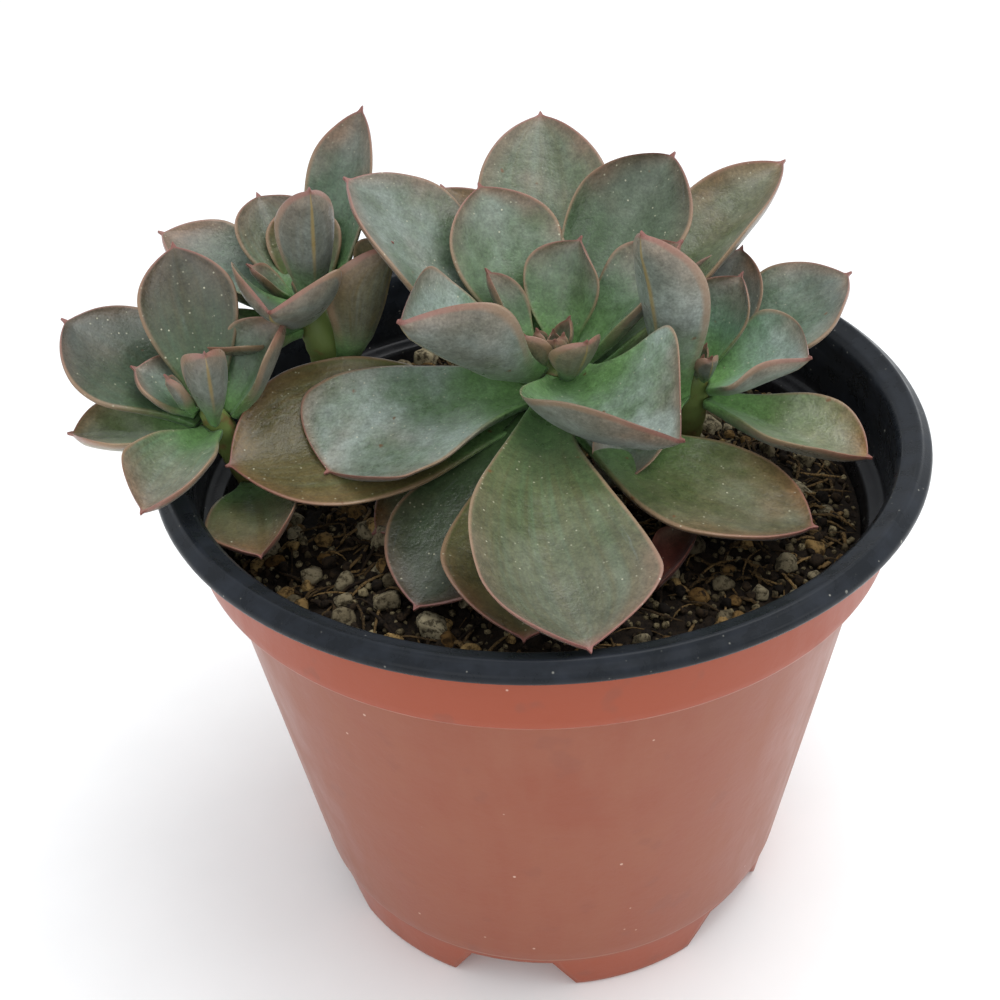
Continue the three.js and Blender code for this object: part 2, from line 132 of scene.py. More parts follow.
def make_object(
    name: str,
    points: np.ndarray,
    faces: np.ndarray | list,
    materials: list[bpy.types.Material],
    values: dict[str, np.ndarray] | None = None,
    face_kinds: np.ndarray | None = None,
) -> bpy.types.Object:
    """Makes a smooth mesh object from millimetre points.

    Args:
        name: The object's name.
        points: Its points, in millimetres.
        faces: The point numbers of each face.
        materials: Its material slots.
        values: A number for every point, by the attribute's name.
        face_kinds: The material slot of every face.

    Returns:
        The object, linked to the scene.
    """
    mesh = bpy.data.meshes.new(name)
    mesh.from_pydata((np.asarray(points) * MM).tolist(), [], [list(map(int, f)) for f in faces])
    for key, numbers in (values or {}).items():
        layer = mesh.attributes.new(key, "FLOAT", "POINT")
        layer.data.foreach_set("value", np.asarray(numbers, np.float32).ravel())
    for material in materials:
        mesh.materials.append(material)
    if face_kinds is not None:
        mesh.polygons.foreach_set("material_index", np.asarray(face_kinds, np.int32))
    mesh.polygons.foreach_set("use_smooth", [True] * len(mesh.polygons))
    mesh.validate()
    mesh.update()
    made = bpy.data.objects.new(name, mesh)
    bpy.context.scene.collection.objects.link(made)
    return made


def settle(piece: bpy.types.Object, slot: str, *nodes: str) -> None:
    """Ties a finished piece to the frame.

    Args:
        piece: The piece.
        slot: The record's material slot of the piece's finish. Not used.
        nodes: The CAD nodes that it stands for.
    """
    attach(piece, "root")
    if nodes:
        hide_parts(*nodes)
    LOG.info("%s: %d faces", piece.name, len(piece.data.polygons))


def grid_faces(rows: int, columns: int) -> np.ndarray:
    """Faces of a tube of rings that closes on itself across its columns.

    Args:
        rows: The number of rings.
        columns: The number of points in each ring.

    Returns:
        Four point numbers for each face.
    """
    row, column = np.meshgrid(np.arange(rows - 1), np.arange(columns), indexing="ij")
    ahead = (column + 1) % columns
    a, b = row * columns + column, row * columns + ahead
    return np.stack([a, b, b + columns, a + columns], -1).reshape(-1, 4)


def heading(azimuth: float | np.ndarray) -> np.ndarray:
    """The level unit vector along an azimuth in degrees, 0 to the front and 90 to the right."""
    angle = np.radians(azimuth)
    return np.stack([np.sin(angle), -np.cos(angle), np.zeros_like(angle)], -1)


def ripple(points: np.ndarray, size: float, seed: int) -> np.ndarray:
    """Smooth noise from -1 to 1 at each point.

    Args:
        points: The places, in millimetres.
        size: The width of one lump, in millimetres.
        seed: Shifts the pattern.

    Returns:
        One number for each point.
    """
    shift = Vector((seed * 7.31, seed * 3.77, seed * 5.13))
    return np.array([noise.noise(Vector(p) / size + shift) for p in points.tolist()])


# ---- The plant's sizes ----


@dataclass(frozen=True)
class LeafForm:
    """One leaf's shape and place, as in the CAD.

    Attributes:
        name: The leaf's name on its crown.
        az: The azimuth that it points along, in degrees.
        rise: How steeply its chord climbs, in degrees.
        long: Its length in millimetres.
        wide: Its width in millimetres.
        at: Where it starts on the stem, in millimetres from the crown's tip.
        curl: How many degrees the blade bends upward along its length.
        fold: How many degrees its left and right halves are turned up.
        roll: How many degrees the blade is turned about its length.
        yaw: How many degrees it swings sideways.
        fat: Its thickness at the foot in millimetres.
        shoulder: Where along its length it is widest, from 0 to 1.
        neck: How long its foot stays narrow.
        age: How old and brown it is, from 0 to 1.
        shade: How light or dark its skin is beside the others, about 1: partly its own tone and partly
            painted light and shade for how brightly it is lit.
        bloom: How much powdery wax it carries, from 0 to 1.
    """

    name: str
    az: float
    rise: float
    long: float
    wide: float
    at: float
    curl: float = 0
    fold: tuple[float, float] = (0, 0)
    roll: float = 0
    yaw: float = 0
    fat: float = 3.6
    shoulder: float = 0.66
    neck: float = 1.5
    age: float = 0.0
    shade: float = 1.0
    bloom: float = 0.5


@dataclass(frozen=True)
class CrownForm:
    """One stem and the leaves on it.

    Attributes:
        name: The crown's name.
        foot: The stem's foot in the soil, x and y in millimetres.
        tip: The crown's x and y, and its height above the middle of the soil.
        radius: The stem's radius in millimetres.
        tip_radius: The stem's radius at its tip.
        leaves: The leaves.
    """

    name: str
    foot: tuple[float, float]
    tip: tuple[float, float, float]
    radius: float
    tip_radius: float
    leaves: tuple[LeafForm, ...] = field(default_factory=tuple)


# LEAF TABLE BEGINS
# Each leaf: name, azimuth, rise, length, width and place on the stem, and then its bends.
# The shade numbers in this table are partly each leaf's own tone and partly painted light and shade for how
# brightly each leaf is lit.
CROWNS: tuple[CrownForm, ...] = (
    CrownForm(
        "main",
        foot=(2, 3),
        tip=(3, 3, 23.5),
        radius=5.5,
        tip_radius=2.6,
        leaves=(
            LeafForm(
                "front", 3, -3, 61, 29, -7, curl=-26, fold=(34, 14), yaw=34, fat=4, shoulder=0.82,
                neck=2.4, age=0.6, bloom=0.2, shade=0.92,
            ),
            LeafForm(
                "left_big", -62, -6, 38, 31, -6, curl=-14, fold=(8, 26), roll=12, yaw=30,
                shoulder=0.8, neck=1.2, age=0.05, bloom=1.0, shade=1.12,
            ),
            LeafForm(
                "left_low", -71, 1, 51, 32, -10, curl=-8, fold=(12, 12), roll=18, yaw=8, neck=1.2,
                age=1.0, bloom=0.1, shade=1.0,
            ),
            LeafForm(
                "front_left", -29, -17, 43, 25, -9, curl=6, fold=(12, 12), neck=1.9, age=0.25,
                bloom=0.0, shade=0.42,
            ),
            LeafForm("left_under", -58, -18, 32, 18, -13, fold=(10, 10), age=0.1, bloom=0.3),
            LeafForm(
                "front_low", -6, -5, 49, 29, -13, curl=-6, fold=(12, 12), age=0.75, bloom=0.1,
                shade=0.9,
            ),
            LeafForm(
                "right_low", 54, -6, 45, 27, -12, curl=4, fold=(10, 10), roll=4, yaw=24, age=0.35,
                bloom=0.5, shade=0.95,
            ),
            LeafForm(
                "front_right", 34, 6, 31, 34, -3, curl=10, fold=(60, 36), roll=-14, yaw=40,
                shoulder=0.5, age=0.05, bloom=1.0, shade=1.12,
            ),
            LeafForm(
                "inner_left", -56, 36, 31, 26, -2, curl=12, fold=(54, 54), yaw=10, age=0.0,
                bloom=1.0, shade=1.1,
            ),
            LeafForm(
                "back_left", -114, 44, 45, 26, -5, curl=-12, fold=(16, 16), age=0.1, bloom=0.9,
                shade=0.88,
            ),
            LeafForm("back_left_low", -146, 46, 40, 22, -10, curl=-12, fold=(16, 16), age=0.6, bloom=0.3),
            LeafForm("back", -179, 38, 52, 25, -8, curl=8, fold=(18, 18), age=0.4, bloom=0.5, shade=1.08),
            LeafForm("middle", -151, 50, 32, 22, -3, curl=8, fold=(22, 22), age=0.15, bloom=0.5),
            LeafForm(
                "back_right", 143, 39, 42, 24, -4, curl=10, fold=(16, 60), yaw=-18, age=0.1,
                bloom=0.2, shade=0.7,
            ),
            LeafForm(
                "back_right_low", 130, 26, 56, 20, -7, curl=8, fold=(34, 34), age=0.1, bloom=0.8,
                shade=1.15,
            ),
            LeafForm(
                "back_right_in", 118, 40, 27, 16, -3, curl=8, fold=(40, 40), age=0.0, bloom=0.5,
                shade=1.0,
            ),
            LeafForm(
                "heart_left", -122, 57, 17, 8, -1.5, curl=10, fold=(40, 40), fat=2.4, age=0.1,
                bloom=0.4,
            ),
            LeafForm(
                "heart_right", 158, 58, 20, 16, -2, curl=8, fold=(34, 34), yaw=-50, fat=2.8,
                age=0.15, bloom=0.6, shade=1.08,
            ),
            LeafForm(
                "heart_front", 24, 52, 14, 10, -2, curl=20, fold=(30, 30), fat=2, age=0.5, bloom=0.1,
                shade=1.15,
            ),
            LeafForm(
                "heart_tip", -40, 62, 10, 8, -1, curl=10, fold=(30, 30), fat=1.8, age=0.5, bloom=0.1,
                shade=1.15,
            ),
        ),
    ),
    CrownForm(
        "left",
        foot=(-46, 0),
        tip=(-54, -8, 22.5),
        radius=2.8,
        tip_radius=1.6,
        leaves=(
            LeafForm(
                "back", -108, 34, 28, 25, -4, curl=16, fold=(14, 14), fat=3, age=0.35, bloom=0.12,
                shade=0.62,
            ),
            LeafForm(
                "up", -160, 58, 28, 17, -3, curl=6, fold=(22, 22), fat=3, age=0.5, bloom=0.05,
                shade=0.6,
            ),
            LeafForm(
                "low", -80, 6, 22, 16, -6, curl=6, fold=(26, 26), fat=3, age=0.0, bloom=1.0,
                shade=1.6,
            ),
            LeafForm("small", -100, 38, 13, 13, -2, curl=14, fold=(22, 22), fat=2.4, age=0.2, bloom=0.5),
            LeafForm("inner", 18, 70, 17, 11, -2, curl=8, fold=(60, 60), fat=2.4, age=0.2, bloom=0.7),
            LeafForm(
                "right", 125, 50, 19, 15, -4, curl=8, fold=(40, 40), fat=2.8, age=0.3, bloom=0.5,
                shade=1.1,
            ),
            LeafForm(
                "front", -16, 2, 25, 16, -5, curl=-16, fold=(50, 30), fat=3, age=0.5, bloom=0.6,
                shade=1.25,
            ),
            LeafForm(
                "front_low", 12, 5, 25, 17, -18, curl=-14, fold=(10, 40), fat=3, age=0.5, bloom=0.4,
                shade=0.9,
            ),
            LeafForm("heart", -60, 64, 9, 5, -0.5, curl=8, fold=(30, 30), fat=1.8),
        ),
    ),
    CrownForm(
        "upper",
        foot=(-31, 14),
        tip=(-39, 12, 31.5),
        radius=3.2,
        tip_radius=1.6,
        leaves=(
            LeafForm("back", -110, 25, 28, 18, -4, curl=14, fold=(26, 26), fat=3, age=0.2, bloom=0.9),
            LeafForm("up", -150, 40, 22, 16, -3, curl=8, fold=(26, 26), fat=2.8, age=0.6, bloom=0.4),
            LeafForm("up_low", -170, 50, 20, 14, -5, curl=8, fold=(26, 26), fat=2.8, age=0.4, bloom=0.5),
            LeafForm("inner", 22, 72, 27, 12, -2, curl=0, fold=(40, 40), fat=2.4, age=0.3, bloom=0.9),
            LeafForm(
                "tall", 160, 52, 37, 14, -6, curl=8, fold=(34, 34), yaw=-12, fat=3, age=0.2,
                bloom=0.5,
            ),
            LeafForm("front", -14, 28, 16, 24, -2, curl=20, fold=(46, 46), fat=2.8, age=0.3, bloom=0.8),
            LeafForm(
                "front_right", 72, 66, 26, 18, -13, curl=8, fold=(56, 56), fat=2.8, age=0.9,
                bloom=0.3, shade=1.05,
            ),
            LeafForm(
                "low", -62, 6, 19, 18, -6, curl=6, fold=(20, 20), fat=2.8, age=0.0, bloom=0.7,
                shade=1.2,
            ),
            LeafForm("heart", -90, 44, 10, 6, -1, curl=8, fold=(30, 30), fat=1.8, age=0.6, bloom=0.5),
        ),
    ),
    CrownForm(
        "right",
        foot=(24, 11),
        tip=(27, 5, 18.5),
        radius=3.4,
        tip_radius=1.8,
        leaves=(
            LeafForm(
                "left", -48, 74, 36, 16, -5, curl=-8, fold=(26, 40), fat=2.8, age=0.0, bloom=1.0,
                shade=1.45,
            ),
            LeafForm("back", 150, 48, 25, 16, -5, curl=8, fold=(30, 30), fat=2.8, age=0.1, bloom=0.8),
            LeafForm(
                "back_right", 110, 32, 31, 24, -5, curl=6, fold=(20, 20), fat=3, age=0.15, bloom=0.6,
                shade=1.12,
            ),
            LeafForm(
                "inner", 138, 55, 18, 15, -2, curl=8, fold=(40, 40), fat=2.4, age=0.0, bloom=0.3,
                shade=1.2,
            ),
            LeafForm(
                "front", 58, 30, 21, 22, -3, curl=14, fold=(20, 50), yaw=-40, fat=2.6, shoulder=0.5,
                age=0.05, bloom=0.8, shade=1.4,
            ),
            LeafForm(
                "front_low", 58, -6, 30, 18, -6, curl=10, fold=(30, 30), fat=3, age=0.0, bloom=0.9,
                shade=1.5,
            ),
            LeafForm(
                "hanging", -40, -20, 24, 14, -5, curl=-40, fold=(60, 30), fat=1.8, age=0.3,
                bloom=0.8, shade=1.25,
            ),
            LeafForm("heart", 20, 60, 7, 5, -0.5, curl=8, fold=(30, 30), fat=1.8),
        ),
    ),
)

FALLEN_LEAF = LeafForm("fallen", 152, 6, 16, 9, 0, curl=20, fold=(46, 46), roll=12, fat=1.2)
# LEAF TABLE ENDS


# ---- Finishes ----


@dataclass(frozen=True)
class LeafSkin:
    """Living leaf cuticle, grown, under a thin powder of its own wax.

    The wax makes broad soft highlights and a pale blue-grey cast at the rim of the blade. Under it the
    flesh goes from bright green at the foot to grey-green, and the back and old leaves turn brown-mauve.
    """

    name: str
    foot: str = "#628650"
    blade: str = "#536e4a"
    far: str = "#5d6956"
    bloom: str = "#88928f"
    back: str = "#6c6d60"
    old: str = "#544a28"
    blush: str = "#75614f"
    margin: str = "#98795f"
    # The rib line's colour is partly the keel's own ochre and partly a painted highlight on the ridge.
    keel_colour_and_highlight: str = "#9a8350"
    point: str = "#8d5750"
    dust: str = "#c9c6ab"
    scar: str = "#6b4524"
    roughness: float = 0.28
    ior: float = 1.45
    sheen: float = 0.1
    stipple_mm: float = 0.45
    dust_mm: float = 1.5
    scar_mm: float = 7.0
    margin_mm: float = 1.1
    rim_mm: float = 6.0
    blush_mm: float = 15.0

    def material(self) -> bpy.types.Material:
        """Makes the leaf material from the mesh's own along, across, upper and edge numbers.

        Returns:
            The material.
        """
        material, tree, output = new_material(self.name)
        place = add_node(tree, "ShaderNodeTexCoord").outputs["Object"]
        read = {
            key: add_node(tree, "ShaderNodeAttribute", attribute_name=key).outputs["Fac"]
            for key in ("along", "across", "upper", "edge_mm", "age", "wax", "shade", "seed")
        }
        # Cloudy patches of wax and pigment, about a centimetre wide, and a finer mottle over them.
        cloud = add_node(
            tree,
            "ShaderNodeTexNoise",
            {"Vector": place, "Scale": PER_MM / 9, "Detail": 4.0, "Roughness": 0.6, "W": read["seed"]},
            noise_dimensions="4D",
        )
        mottle = add_node(
            tree,
            "ShaderNodeTexNoise",
            {"Vector": place, "Scale": PER_MM / 1.6, "Detail": 5.0, "Roughness": 0.65},
        )
        # Faint veins run from foot to tip: the pattern is stretched along the blade.
        vein_place = add_node(
            tree, "ShaderNodeCombineXYZ", {0: read["across"], 1: read["along"], 2: read["seed"]}
        )
        veins = add_node(
            tree,
            "ShaderNodeTexNoise",
            {
                "Vector": add_node(
                    tree, "ShaderNodeMapping", {"Vector": vein_place.outputs[0], "Scale": (9.0, 1.3, 1.0)}
                ).outputs[0],
                "Scale": 1.0,
                "Detail": 3.0,
            },
        )
        wander = add_node(
            tree, "ShaderNodeMath", {0: cloud.outputs["Fac"], 1: 0.42, 2: -0.21}, operation="MULTIPLY_ADD"
        )
        reach = add_node(tree, "ShaderNodeMath", {0: read["along"], 1: wander.outputs[0]}, operation="ADD")
        toward = add_node(
            tree,
            "ShaderNodeMapRange",
            {"Value": reach.outputs[0], "From Min": 0.08, "From Max": 0.5},
            interpolation_type="SMOOTHSTEP",
        )
        beyond = add_node(
            tree,
            "ShaderNodeMapRange",
            {"Value": reach.outputs[0], "From Min": 0.45, "From Max": 0.92},
            interpolation_type="SMOOTHSTEP",
        )
        face = add_node(
            tree,
            "ShaderNodeMix",
            {0: toward.outputs[0], 6: linear(self.foot), 7: linear(self.blade)},
            data_type="RGBA",
        )
        face = add_node(
            tree,
            "ShaderNodeMix",
            {0: beyond.outputs[0], 6: face.outputs[2], 7: linear(self.far)},
            data_type="RGBA",
        )
        waxy = add_node(
            tree,
            "ShaderNodeMapRange",
            {"Value": cloud.outputs["Fac"], "From Min": 0.3, "From Max": 0.75, "To Min": 0.1, "To Max": 0.8},
            interpolation_type="SMOOTHSTEP",
        )
        waxy = add_node(tree, "ShaderNodeMath", {0: waxy.outputs[0], 1: read["wax"]}, operation="MULTIPLY")
        powdered = add_node(
            tree, "ShaderNodeMath", {0: read["wax"], 1: 0.2, 2: reach.outputs[0]}, operation="MULTIPLY_ADD"
        )
        dusted = add_node(
            tree,
            "ShaderNodeMapRange",
            {"Value": powdered.outputs[0], "From Min": 0.25, "From Max": 0.8},
            interpolation_type="SMOOTHSTEP",
        )
        waxy = add_node(
            tree, "ShaderNodeMath", {0: waxy.outputs[0], 1: dusted.outputs[0]}, operation="MULTIPLY"
        )
        under = add_node(
            tree,
            "ShaderNodeMix",
            {0: toward.outputs[0], 6: linear(self.foot), 7: linear(self.back)},
            data_type="RGBA",
        )
        skin = add_node(
            tree,
            "ShaderNodeMix",
            {0: read["upper"], 6: under.outputs[2], 7: face.outputs[2]},
            data_type="RGBA",
        )
        skin = add_node(
            tree,
            "ShaderNodeMix",
            {0: waxy.outputs[0], 6: skin.outputs[2], 7: linear(self.bloom)},
            data_type="RGBA",
        )
        aged = add_node(
            tree,
            "ShaderNodeMath",
            {0: read["age"], 1: toward.outputs[0]},
            operation="MULTIPLY",
        )
        aged = add_node(
            tree,
            "ShaderNodeMath",
            {0: aged.outputs[0], 1: veins.outputs["Fac"], 2: 0.0},
            operation="MULTIPLY_ADD",
        )
        aged = add_node(
            tree, "ShaderNodeMapRange", {"Value": aged.outputs[0], "From Max": 0.6}
        )
        skin = add_node(
            tree,
            "ShaderNodeMix",
            {0: aged.outputs[0], 6: skin.outputs[2], 7: linear(self.old)},
            data_type="RGBA",
        )
        # Brown-pink blushes, a centimetre or two wide, come in the outer half where the sun reached.
        ruddy = add_node(
            tree,
            "ShaderNodeTexNoise",
            {
                "Vector": place,
                "Scale": PER_MM / self.blush_mm,
                "Detail": 3.0,
                "W": add_node(tree, "ShaderNodeMath", {0: read["seed"], 1: 4.0}, operation="ADD").outputs[0],
            },
            noise_dimensions="4D",
        )
        blushed = add_node(
            tree,
            "ShaderNodeMapRange",
            {"Value": ruddy.outputs["Fac"], "From Min": 0.46, "From Max": 0.66, "To Max": 0.62},
            interpolation_type="SMOOTHSTEP",
        )
        near_edge = add_node(
            tree,
            "ShaderNodeMapRange",
            {
                "Value": read["edge_mm"],
                "From Min": 0.0,
                "From Max": self.rim_mm,
                "To Min": 0.72,
                "To Max": 0.0,
            },
            interpolation_type="SMOOTHSTEP",
        )
        blushed = add_node(
            tree,
            "ShaderNodeMath",
            {
                0: add_node(
                    tree, "ShaderNodeMath", {0: blushed.outputs[0], 1: near_edge.outputs[0]}, operation="ADD"
                ).outputs[0],
                1: beyond.outputs[0],
            },
            operation="MULTIPLY",
            use_clamp=True,
        )
        skin = add_node(
            tree,
            "ShaderNodeMix",
            {0: blushed.outputs[0], 6: skin.outputs[2], 7: linear(self.blush)},
            data_type="RGBA",
        )
        # Pale scuffs where the wax was rubbed: thin broken streaks that run along the blade.
        streaks = add_node(
            tree,
            "ShaderNodeTexNoise",
            {
                "Vector": add_node(
                    tree, "ShaderNodeMapping", {"Vector": vein_place.outputs[0], "Scale": (7.0, 3.4, 1.0)}
                ).outputs[0],
                "Scale": 1.0,
                "Detail": 5.0,
                "Roughness": 0.7,
            },
        )
        scuffed = add_node(
            tree,
            "ShaderNodeMapRange",
            {"Value": streaks.outputs["Fac"], "From Min": 0.64, "From Max": 0.78, "To Max": 0.45},
        )
        skin = add_node(
            tree,
            "ShaderNodeMix",
            {0: scuffed.outputs[0], 6: skin.outputs[2], 7: linear(self.bloom)},
            data_type="RGBA",
        )
        # The mottle and a cloudier patchiness make the flesh a little lighter and darker.
        shade = add_node(
            tree, "ShaderNodeMath", {0: mottle.outputs["Fac"], 1: cloud.outputs["Fac"]}, operation="ADD"
        )
        shade = add_node(
            tree,
            "ShaderNodeMapRange",
            {"Value": shade.outputs[0], "From Min": 0.75, "From Max": 1.25, "To Min": 0.7, "To Max": 1.3},
        )
        stipple = add_node(
            tree,
            "ShaderNodeTexNoise",
            {"Vector": place, "Scale": PER_MM / self.stipple_mm, "Detail": 3.0, "Roughness": 0.6},
        )
        grainy = add_node(
            tree,
            "ShaderNodeMapRange",
            {
                "Value": stipple.outputs["Fac"],
                "From Min": 0.35,
                "From Max": 0.65,
                "To Min": 0.84,
                "To Max": 1.18,
            },
        )
        shade = add_node(
            tree, "ShaderNodeMath", {0: shade.outputs[0], 1: grainy.outputs[0]}, operation="MULTIPLY"
        )
        # Each leaf's shade number scales the whole skin: partly its own tone and partly painted light and
        # shade for how brightly it is lit.
        shade = add_node(
            tree, "ShaderNodeMath", {0: shade.outputs[0], 1: read["shade"]}, operation="MULTIPLY"
        )
        skin = add_node(
            tree,
            "ShaderNodeVectorMath",
            {0: skin.outputs[2], 1: shade.outputs[0]},
            operation="MULTIPLY",
        )
        # The margin is a soft ochre-pink band, about a millimetre wide, that reddens towards the point.
        line_colour = add_node(
            tree,
            "ShaderNodeMix",
            {
                0: add_node(
                    tree, "ShaderNodeMapRange", {"Value": read["along"], "From Min": 0.7, "From Max": 0.97}
                ).outputs[0],
                6: linear(self.margin),
                7: linear(self.point),
            },
            data_type="RGBA",
        )
        line_width = add_node(
            tree,
            "ShaderNodeMath",
            {0: streaks.outputs["Fac"], 1: 1.4 * self.margin_mm, 2: 0.2},
            operation="MULTIPLY_ADD",
        )
        line = add_node(
            tree,
            "ShaderNodeMapRange",
            {
                "Value": read["edge_mm"],
                "From Min": 0.25,
                "From Max": line_width.outputs[0],
                "To Min": 0.7,
                "To Max": 0.0,
            },
            interpolation_type="SMOOTHSTEP",
        )
        line = add_node(
            tree,
            "ShaderNodeMath",
            {
                0: line.outputs[0],
                1: add_node(
                    tree, "ShaderNodeMapRange", {"Value": read["along"], "From Min": 0.12, "From Max": 0.5}
                ).outputs[0],
            },
            operation="MULTIPLY",
        )
        skin = add_node(
            tree,
            "ShaderNodeMix",
            {0: line.outputs[0], 6: skin.outputs[0], 7: line_colour.outputs[2]},
            data_type="RGBA",
        )
        # A thin pale ochre line is painted along the rib on the back of the blade, over its outer half:
        # partly the keel's own colour and partly a painted highlight along the ridge.
        off_rib = add_node(tree, "ShaderNodeMath", {0: read["across"]}, operation="ABSOLUTE")
        keel_line_and_highlight = add_node(
            tree,
            "ShaderNodeMapRange",
            {
                "Value": off_rib.outputs[0],
                "From Min": 0.015,
                "From Max": 0.085,
                "To Min": 0.75,
                "To Max": 0.0,
            },
            interpolation_type="SMOOTHSTEP",
        )
        outer = add_node(
            tree, "ShaderNodeMapRange", {"Value": read["along"], "From Min": 0.25, "From Max": 0.6}
        )
        behind = add_node(tree, "ShaderNodeMath", {0: 1.0, 1: read["upper"]}, operation="SUBTRACT")
        keel_line_and_highlight = add_node(
            tree, "ShaderNodeMath", {0: keel_line_and_highlight.outputs[0], 1: outer.outputs[0]}, operation="MULTIPLY"
        )
        keel_line_and_highlight = add_node(
            tree, "ShaderNodeMath", {0: keel_line_and_highlight.outputs[0], 1: behind.outputs[0]}, operation="MULTIPLY"
        )
        skin = add_node(
            tree,
            "ShaderNodeMix",
            {0: keel_line_and_highlight.outputs[0], 6: skin.outputs[2], 7: linear(self.keel_colour_and_highlight)},
            data_type="RGBA",
        )
        tip_red = add_node(
            tree,
            "ShaderNodeMapRange",
            {"Value": read["along"], "From Min": 0.955, "From Max": 0.995, "To Max": 0.6},
        )
        skin = add_node(
            tree,
            "ShaderNodeMix",
            {0: tip_red.outputs[0], 6: skin.outputs[2], 7: linear(self.point)},
            data_type="RGBA",
        )
        # Dust grains of about a quarter of a millimetre lie a millimetre or two apart on the upper face.
        specks = add_node(
            tree, "ShaderNodeTexVoronoi", {"Vector": place, "Scale": PER_MM / self.dust_mm, "Randomness": 1.0}
        )
        speck = add_node(
            tree,
            "ShaderNodeMapRange",
            {
                "Value": specks.outputs["Distance"],
                "From Min": 0.07,
                "From Max": 0.13,
                "To Min": 0.75,
                "To Max": 0.0,
            },
        )
        speck = add_node(
            tree,
            "ShaderNodeMath",
            {
                0: speck.outputs[0],
                1: add_node(
                    tree,
                    "ShaderNodeMapRange",
                    {"Value": cloud.outputs["Fac"], "From Min": 0.42, "From Max": 0.62},
                ).outputs[0],
            },
            operation="MULTIPLY",
        )
        speck = add_node(
            tree, "ShaderNodeMath", {0: speck.outputs[0], 1: read["upper"]}, operation="MULTIPLY"
        )
        skin = add_node(
            tree,
            "ShaderNodeMix",
            {0: speck.outputs[0], 6: skin.outputs[2], 7: linear(self.dust)},
            data_type="RGBA",
        )
        # A few brown scars where the skin was nicked.
        nicks = add_node(
            tree,
            "ShaderNodeTexVoronoi",
            {
                "Vector": add_node(
                    tree,
                    "ShaderNodeMix",
                    {0: 0.0015, 4: place, 5: mottle.outputs["Color"]},
                    data_type="VECTOR",
                ).outputs[1],
                "Scale": PER_MM / self.scar_mm,
            },
        )
        nick = add_node(
            tree,
            "ShaderNodeMapRange",
            {
                "Value": nicks.outputs["Distance"],
                "From Min": 0.03,
                "From Max": 0.07,
                "To Min": 0.8,
                "To Max": 0.0,
            },
        )
        skin = add_node(
            tree,
            "ShaderNodeMix",
            {0: nick.outputs[0], 6: skin.outputs[2], 7: linear(self.scar)},
            data_type="RGBA",
        )
        gloss = add_node(
            tree,
            "ShaderNodeMapRange",
            {
                "Value": cloud.outputs["Fac"],
                "From Min": 0.3,
                "From Max": 0.7,
                "To Min": self.roughness - 0.06,
                "To Max": self.roughness + 0.12,
            },
        )
        relief = add_node(
            tree,
            "ShaderNodeMath",
            {0: mottle.outputs["Fac"], 1: 1.6, 2: stipple.outputs["Fac"]},
            operation="MULTIPLY_ADD",
        )
        relief = add_node(
            tree,
            "ShaderNodeMath",
            {0: veins.outputs["Fac"], 1: 0.7, 2: relief.outputs[0]},
            operation="MULTIPLY_ADD",
        )
        bump = add_node(
            tree, "ShaderNodeBump", {"Strength": 0.4, "Distance": 0.14 * MM, "Height": relief.outputs[0]}
        )
        # Broad shallow dents, a few millimetres wide, break up the highlights.
        bump = add_node(
            tree,
            "ShaderNodeBump",
            {
                "Strength": 0.5,
                "Distance": 0.8 * MM,
                "Height": cloud.outputs["Fac"],
                "Normal": bump.outputs[0],
            },
        )
        shader = add_node(
            tree,
            "ShaderNodeBsdfPrincipled",
            {
                "Base Color": skin.outputs[2],
                "Roughness": gloss.outputs[0],
                "IOR": self.ior,
                "Sheen Weight": self.sheen,
                "Sheen Roughness": 0.45,
                "Sheen Tint": linear("#dfe6ec"),
                "Normal": bump.outputs["Normal"],
            },
        )
        tree.links.new(shader.outputs[0], output.inputs["Surface"])
        return material


@dataclass(frozen=True)
class StemSkin:
    """Fleshy green stem, grown: yellow-green and satin, browner where old leaves have left scars."""

    name: str = "green_stem"
    flesh: str = "#6c7c42"
    scar: str = "#75603a"
    foot: str = "#6e5a33"
    roughness: float = 0.5

    def material(self) -> bpy.types.Material:
        """Makes the stem material.

        Returns:
            The material.
        """
        material, tree, output = new_material(self.name)
        place = add_node(tree, "ShaderNodeTexCoord").outputs["Object"]
        along = add_node(tree, "ShaderNodeAttribute", attribute_name="along").outputs["Fac"]
        blotch = add_node(
            tree,
            "ShaderNodeTexNoise",
            {"Vector": place, "Scale": PER_MM / 2.2, "Detail": 5.0, "Roughness": 0.6},
        )
        scarred = add_node(
            tree,
            "ShaderNodeMapRange",
            {"Value": blotch.outputs["Fac"], "From Min": 0.5, "From Max": 0.66},
        )
        colour = add_node(
            tree,
            "ShaderNodeMix",
            {0: scarred.outputs[0], 6: linear(self.flesh), 7: linear(self.scar)},
            data_type="RGBA",
        )
        low = add_node(
            tree,
            "ShaderNodeMapRange",
            {"Value": along, "From Min": 0.35, "From Max": 0.7, "To Min": 0.8, "To Max": 0.0},
        )
        colour = add_node(
            tree,
            "ShaderNodeMix",
            {0: low.outputs[0], 6: colour.outputs[2], 7: linear(self.foot)},
            data_type="RGBA",
        )
        bump = add_node(
            tree, "ShaderNodeBump", {"Strength": 0.5, "Distance": 0.3 * MM, "Height": blotch.outputs["Fac"]}
        )
        shader = add_node(
            tree,
            "ShaderNodeBsdfPrincipled",
            {
                "Base Color": colour.outputs[2],
                "Roughness": self.roughness,
                "IOR": 1.42,
                "Normal": bump.outputs["Normal"],
            },
        )
        tree.links.new(shader.outputs[0], output.inputs["Surface"])
        return material


